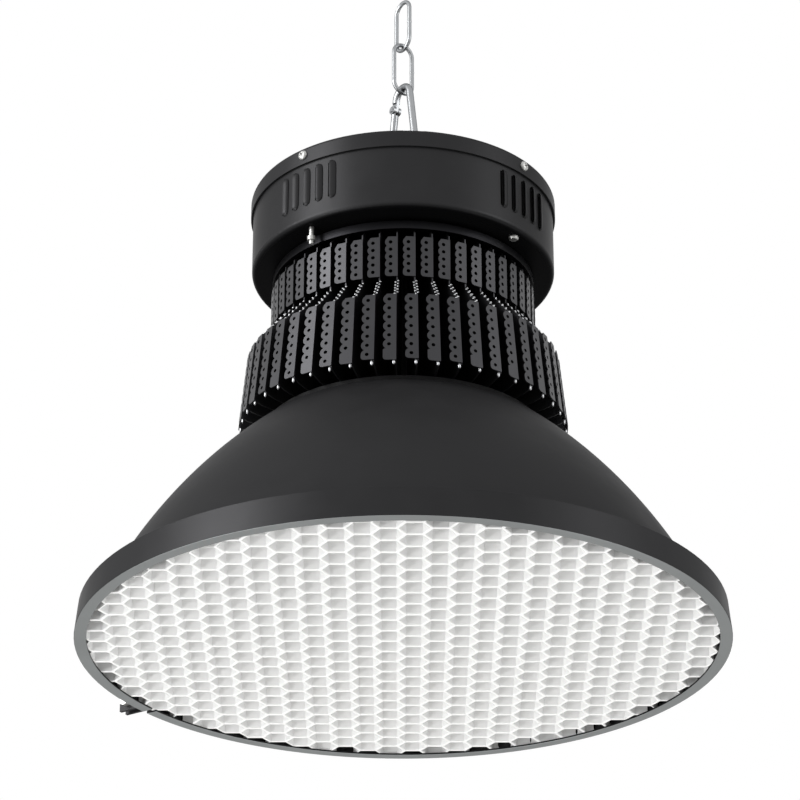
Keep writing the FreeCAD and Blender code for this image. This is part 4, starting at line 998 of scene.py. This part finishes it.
@dataclass
class Louvre:
    """The moulded honeycomb, its walls thickened along their free edge.

    Args:
        palette: The finishes.
        side: A cell's side, between the middles of its walls.
        wall: A wall's thickness, which decides whether a cell fits whole.
        depth: How deep the cells are.
        lip: Half a wall's thickness at the free edge.
        root: Half a wall's thickness at the back.
        taper: From the free edge to where a wall starts to thin, and to where it ends.
        bevel: The free edge's bevel, across and along.
        reach: Radius of the rim, where the cells are trimmed.
        sliver: Cells whose middle is closer than this to the rim are left out.
        middle: Where a cell's middle lies beside the lamp's axis.
        weld: Distance at which the points of two cells become one.
    """

    palette: Palette
    side: float = 12.3
    wall: float = 1.6
    depth: float = 12.5
    lip: float = 1.15
    root: float = 0.7
    taper: Pair = (1.3, 4.5)
    bevel: Pair = (0.4, 0.5)
    reach: float = 246.5
    sliver: float = 1.0
    middle: Pair = (7.8, 10.65)
    weld: float = 0.02

    SIDES = 6
    CELL_SMOOTH_DEG = 60
    # The most corners that a trimmed cell's open side can have.
    MOST_CORNERS = 12

    def centres(self) -> tuple[list[Pair], list[Pair]]:
        """Cell centres on a hexagonal grid: the whole cells, and those the rim cuts."""
        across = self.side * 1.5
        along = self.side * math.sqrt(3)
        outer = self.side + self.wall / math.sqrt(3)
        count = math.ceil(self.reach / across) + 1
        whole, cut = [], []
        for column in range(-count, count + 1):
            for row in range(-count, count + 1):
                x = self.middle[0] + across * column
                y = self.middle[1] + along * (row + 0.5 * (column % 2))
                corners = circle(x, y, outer, self.SIDES)
                if max(math.hypot(*corner) for corner in corners) <= self.reach:
                    whole.append((x, y))
                elif math.hypot(x, y) < self.reach - self.sliver:
                    cut.append((x, y))
        return whole, cut

    def cut_cell(self, x: float, y: float) -> BMesh:
        """A cell trimmed where it would pass the hoop's wall."""
        bm = self.cell()
        bmesh.ops.translate(bm, vec=(x, y, 0), verts=bm.verts)
        out = Vector((x, y, 0)).normalized()
        parts = list(bm.verts) + list(bm.edges) + list(bm.faces)
        made = bmesh.ops.bisect_plane(
            bm, geom=parts, plane_co=out * self.reach, plane_no=out, clear_outer=True
        )
        sides = [item for item in made["geom_cut"] if isinstance(item, bmesh.types.BMEdge)]
        bmesh.ops.holes_fill(bm, edges=sides, sides=self.MOST_CORNERS)
        return bm

    def cell(self) -> BMesh:
        """One hexagonal ring: half of each wall that it shares."""
        profile = (
            (0.0, self.depth),
            (self.root, self.depth),
            (self.root, self.taper[1]),
            (self.lip, self.taper[0]),
            (self.lip, self.bevel[1]),
            (self.lip - self.bevel[0], 0.0),
            (0.0, 0.0),
        )
        bm = bmesh.new()
        loops = []
        for inset, height in profile:
            radius = self.side - inset / math.cos(math.pi / self.SIDES)
            corners = circle(0, 0, radius, self.SIDES)
            loops.append([bm.verts.new((x, y, height)) for x, y in corners])
        for first, second in zip(loops, loops[1:] + loops[:1]):
            for corner in range(self.SIDES):
                after = (corner + 1) % self.SIDES
                bm.faces.new((first[corner], first[after], second[after], second[corner]))
        return bm

    def tree(self) -> Tree:
        """Geometry nodes that put a cell on every point."""
        tree = new_tree(
            "cells_on_points",
            Geometry="Geometry",
            Cell="Object",
            Weld="Float",
            Material="Material",
        )
        given = add_node(tree, "NodeGroupInput").outputs
        cell = add_node(tree, "GeometryNodeObjectInfo", Object=given["Cell"]).outputs["Geometry"]
        placed = add_node(
            tree, "GeometryNodeInstanceOnPoints", Points=given["Geometry"], Instance=cell
        )
        real = add_node(tree, "GeometryNodeRealizeInstances", Geometry=placed.outputs[0])
        joined = add_node(
            tree, "GeometryNodeMergeByDistance", Geometry=real.outputs[0], Distance=given["Weld"]
        )
        painted = add_node(
            tree,
            "GeometryNodeSetMaterial",
            Geometry=joined.outputs[0],
            Material=given["Material"],
        )
        add_node(tree, "NodeGroupOutput", Geometry=painted.outputs[0])
        return tree

    def build(self) -> None:
        """Fill the mouth with cells and open the walls that two of them share."""
        cell = to_object("cell", self.cell(), self.CELL_SMOOTH_DEG)
        points = bpy.data.meshes.new("cell_points")
        whole, cut = self.centres()
        spots = [(x * MM, y * MM, LOUVRE_Z * MM) for x, y in whole]
        points.from_pydata(spots, [], [])
        louvre = bpy.data.objects.new("moulded_louvre", points)
        bpy.context.scene.collection.objects.link(louvre)
        values = {
            "Cell": cell,
            "Weld": self.weld * MM,
            "Material": self.palette.made["white_moulded_louvre"],
        }
        bake_nodes(louvre, self.tree(), values)
        bpy.data.objects.remove(cell)
        bm = bmesh.new()
        bm.from_mesh(louvre.data)
        spot = Matrix.Scale(MM, 4) @ Matrix.Translation((0, 0, LOUVRE_Z))
        for x, y in cut:
            join_into(bm, self.cut_cell(x, y), spot)
        bmesh.ops.remove_doubles(bm, verts=bm.verts, dist=self.weld * MM)
        shared = [face for face in bm.faces if all(len(e.link_faces) > 2 for e in face.edges)]
        bmesh.ops.delete(bm, geom=shared, context="FACES")
        bmesh.ops.recalc_face_normals(bm, faces=bm.faces)
        bm.to_mesh(louvre.data)
        bm.free()
        louvre.data.set_sharp_from_angle(angle=math.radians(SHARP_DEG))
        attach(louvre, LAMP)
        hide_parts("honeycomb_louvre")


@dataclass
class HoopLip:
    """A thin grey metal skin under the clamp hoop's flange."""

    palette: Palette
    inner: float = 240.6
    outer: float = 249.7
    skin: float = 0.25
    bevel: float = 0.1
    gap_deg: float = 1.25

    SMOOTH_DEG = 30

    def build(self) -> None:
        """Lay a thin skin under the flange, open at the hoop's split."""
        low, high = RIM_Z - self.skin, RIM_Z
        section = [
            (self.inner, high),
            (self.inner, low + self.bevel),
            (self.inner + self.bevel, low),
            (self.outer - self.bevel, low),
            (self.outer, low + self.bevel),
            (self.outer, high),
        ]
        ring = lathe(section, ROUND_STEPS, self.gap_deg)
        ring.transform(turned(HOOP_TURN))
        lip = to_object("hoop_lip_face", ring, self.SMOOTH_DEG)
        lip.data.materials.append(self.palette.made["grey_metal_lip_skin"])
        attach(lip, LAMP)


# ---------------------------------------------------------------- suspension


@dataclass
class Suspension:
    """Weld beads on the chain's links."""

    palette: Palette

    # Each link's turn.
    LINKS = {"chain_link_upper": -54, "chain_link_lower": 36}
    # From a link's middle to the middle of its leg's wire.
    LEG = 9.15
    # The bead, out from the wire's axis and along it. Its inner side lies in the wire.
    BEAD = ((1.4, -1.3), (1.8, -0.9), (1.98, 0), (1.8, 0.9), (1.4, 1.3))
    BEAD_STEPS = 20
    SMOOTH_DEG = 60

    def build(self) -> None:
        """Add a small bead round one leg of each link, halfway down."""
        for body, turn in self.LINKS.items():
            bead = lathe(self.BEAD, self.BEAD_STEPS)
            spot = Matrix.Translation((self.LEG, 0, level(body, 0.5)))
            bead.transform(turned(turn) @ spot)
            weld = to_object("weld_" + body, bead, self.SMOOTH_DEG)
            weld.data.materials.append(self.palette.made["zinc_plated_steel"])
            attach(weld, body)


# ---------------------------------------------------------------- studio


@dataclass(frozen=True)
class Softbox:
    """A rectangular area light, in metres and watts."""

    name: str
    spot: Triple
    size: Pair
    power: float
    aim: Triple = (0, 0, -0.4)

    def build(self) -> None:
        """Add the light and aim it."""
        data = bpy.data.lights.new(self.name, "AREA")
        data.shape = "RECTANGLE"
        data.size, data.size_y = self.size
        data.energy = self.power
        lamp = bpy.data.objects.new(self.name, data)
        lamp.location = self.spot
        way = Vector(self.aim) - Vector(self.spot)
        lamp.rotation_euler = way.to_track_quat("-Z", "Y").to_euler()
        bpy.context.scene.collection.objects.link(lamp)


MOUTH = (0, 0, RIM_Z * MM)

SOFTBOXES = (
    Softbox("key_left", (-2.8, -1.35, 0.55), (1.6, 2.2), 98),
    Softbox("low_left", (-1.9, -1.3, -1.6), (0.6, 0.6), 22),
    Softbox("fill_right", (2.8, -1.2, 0.2), (1.2, 2.0), 28),
    Softbox("under_left", (-1.6, -0.1, -3.1), (2.2, 2.6), 28, aim=MOUTH),
    Softbox("under_right", (1.6, -0.1, -3.1), (2.2, 2.6), 28, aim=MOUTH),
)


@dataclass
class Studio:
    """Camera, softboxes, floor and a white surround."""

    # The surround's strength where it is seen, and where it only lights.
    seen: float = 1.0
    glow: float = 0.66
    # The floor's height and half its side, in metres.
    floor_z: float = -3.6
    floor_half: float = 60.0
    # The camera: lens and sensor in millimetres, reach in metres, tilt up from straight down.
    lens: float = 138.96
    sensor: float = 36.0
    far: float = 200.0
    tilt_deg: float = 116.12
    # In millimetres: beside the lamp's axis and along it to the front, and below the rim.
    camera_spot: Triple = (-2.5, -2195.25, 865.75)

    def surround(self) -> None:
        """White to the camera, to mirrors and through glass, dimmer where it only lights."""
        world = bpy.data.worlds.new("studio")
        bpy.context.scene.world = world
        world.use_nodes = True
        tree = world.node_tree
        tree.nodes.clear()
        white = (1, 1, 1, 1)
        seen = add_node(tree, "ShaderNodeBackground", Color=white, Strength=self.seen)
        glow = add_node(tree, "ShaderNodeBackground", Color=white, Strength=self.glow)
        path = add_node(tree, "ShaderNodeLightPath").outputs
        mirrored = maths(tree, "MAXIMUM", path["Is Glossy Ray"], path["Is Transmission Ray"])
        shown = maths(tree, "MAXIMUM", path["Is Camera Ray"], mirrored)
        mix = add_node(
            tree, "ShaderNodeMixShader", Fac=shown, _1=glow.outputs[0], _2=seen.outputs[0]
        )
        add_node(tree, "ShaderNodeOutputWorld", Surface=mix.outputs[0])

    def floor(self) -> None:
        """A plain pale floor far below."""
        bm = bmesh.new()
        bmesh.ops.create_grid(bm, x_segments=1, y_segments=1, size=self.floor_half / MM)
        bmesh.ops.translate(bm, vec=(0, 0, self.floor_z / MM), verts=bm.verts)
        floor = to_object("floor", bm)
        paint = Finish("pale_floor_paint", "E6E6E4", 0.7, grain_mm=4, tone_change=0.02)
        floor.data.materials.append(paint.build())

    def camera(self) -> None:
        """Look up at the lamp from below its rim."""
        data = bpy.data.cameras.new("camera")
        data.sensor_width = self.sensor
        data.lens = self.lens
        data.clip_end = self.far
        camera = bpy.data.objects.new("camera", data)
        x, y, below = self.camera_spot
        camera.location = (x * MM, y * MM, (RIM_Z - below) * MM)
        camera.rotation_euler = (math.radians(self.tilt_deg), 0, 0)
        bpy.context.scene.collection.objects.link(camera)
        bpy.context.scene.camera = camera

    def build(self) -> None:
        """Set the studio up."""
        self.surround()
        self.floor()
        self.camera()
        for softbox in SOFTBOXES:
            softbox.build()
        bpy.context.scene.view_settings.view_transform = "Standard"


def main() -> None:
    """Dress the lamp and light it."""
    logging.basicConfig(level=logging.INFO)
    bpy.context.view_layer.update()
    palette = Palette()
    palette.build()
    palette.dress_solids()
    ring = Ring(ring_tree())
    parts = (
        HeatSink(palette, ring),
        Housing(palette, ring),
        Shade(palette),
        Louvre(palette),
        HoopLip(palette),
        Suspension(palette),
    )
    for part in parts:
        part.build()
        log.info("built %s", type(part).__name__)
    Studio().build()


if __name__ == "__main__":
    main()
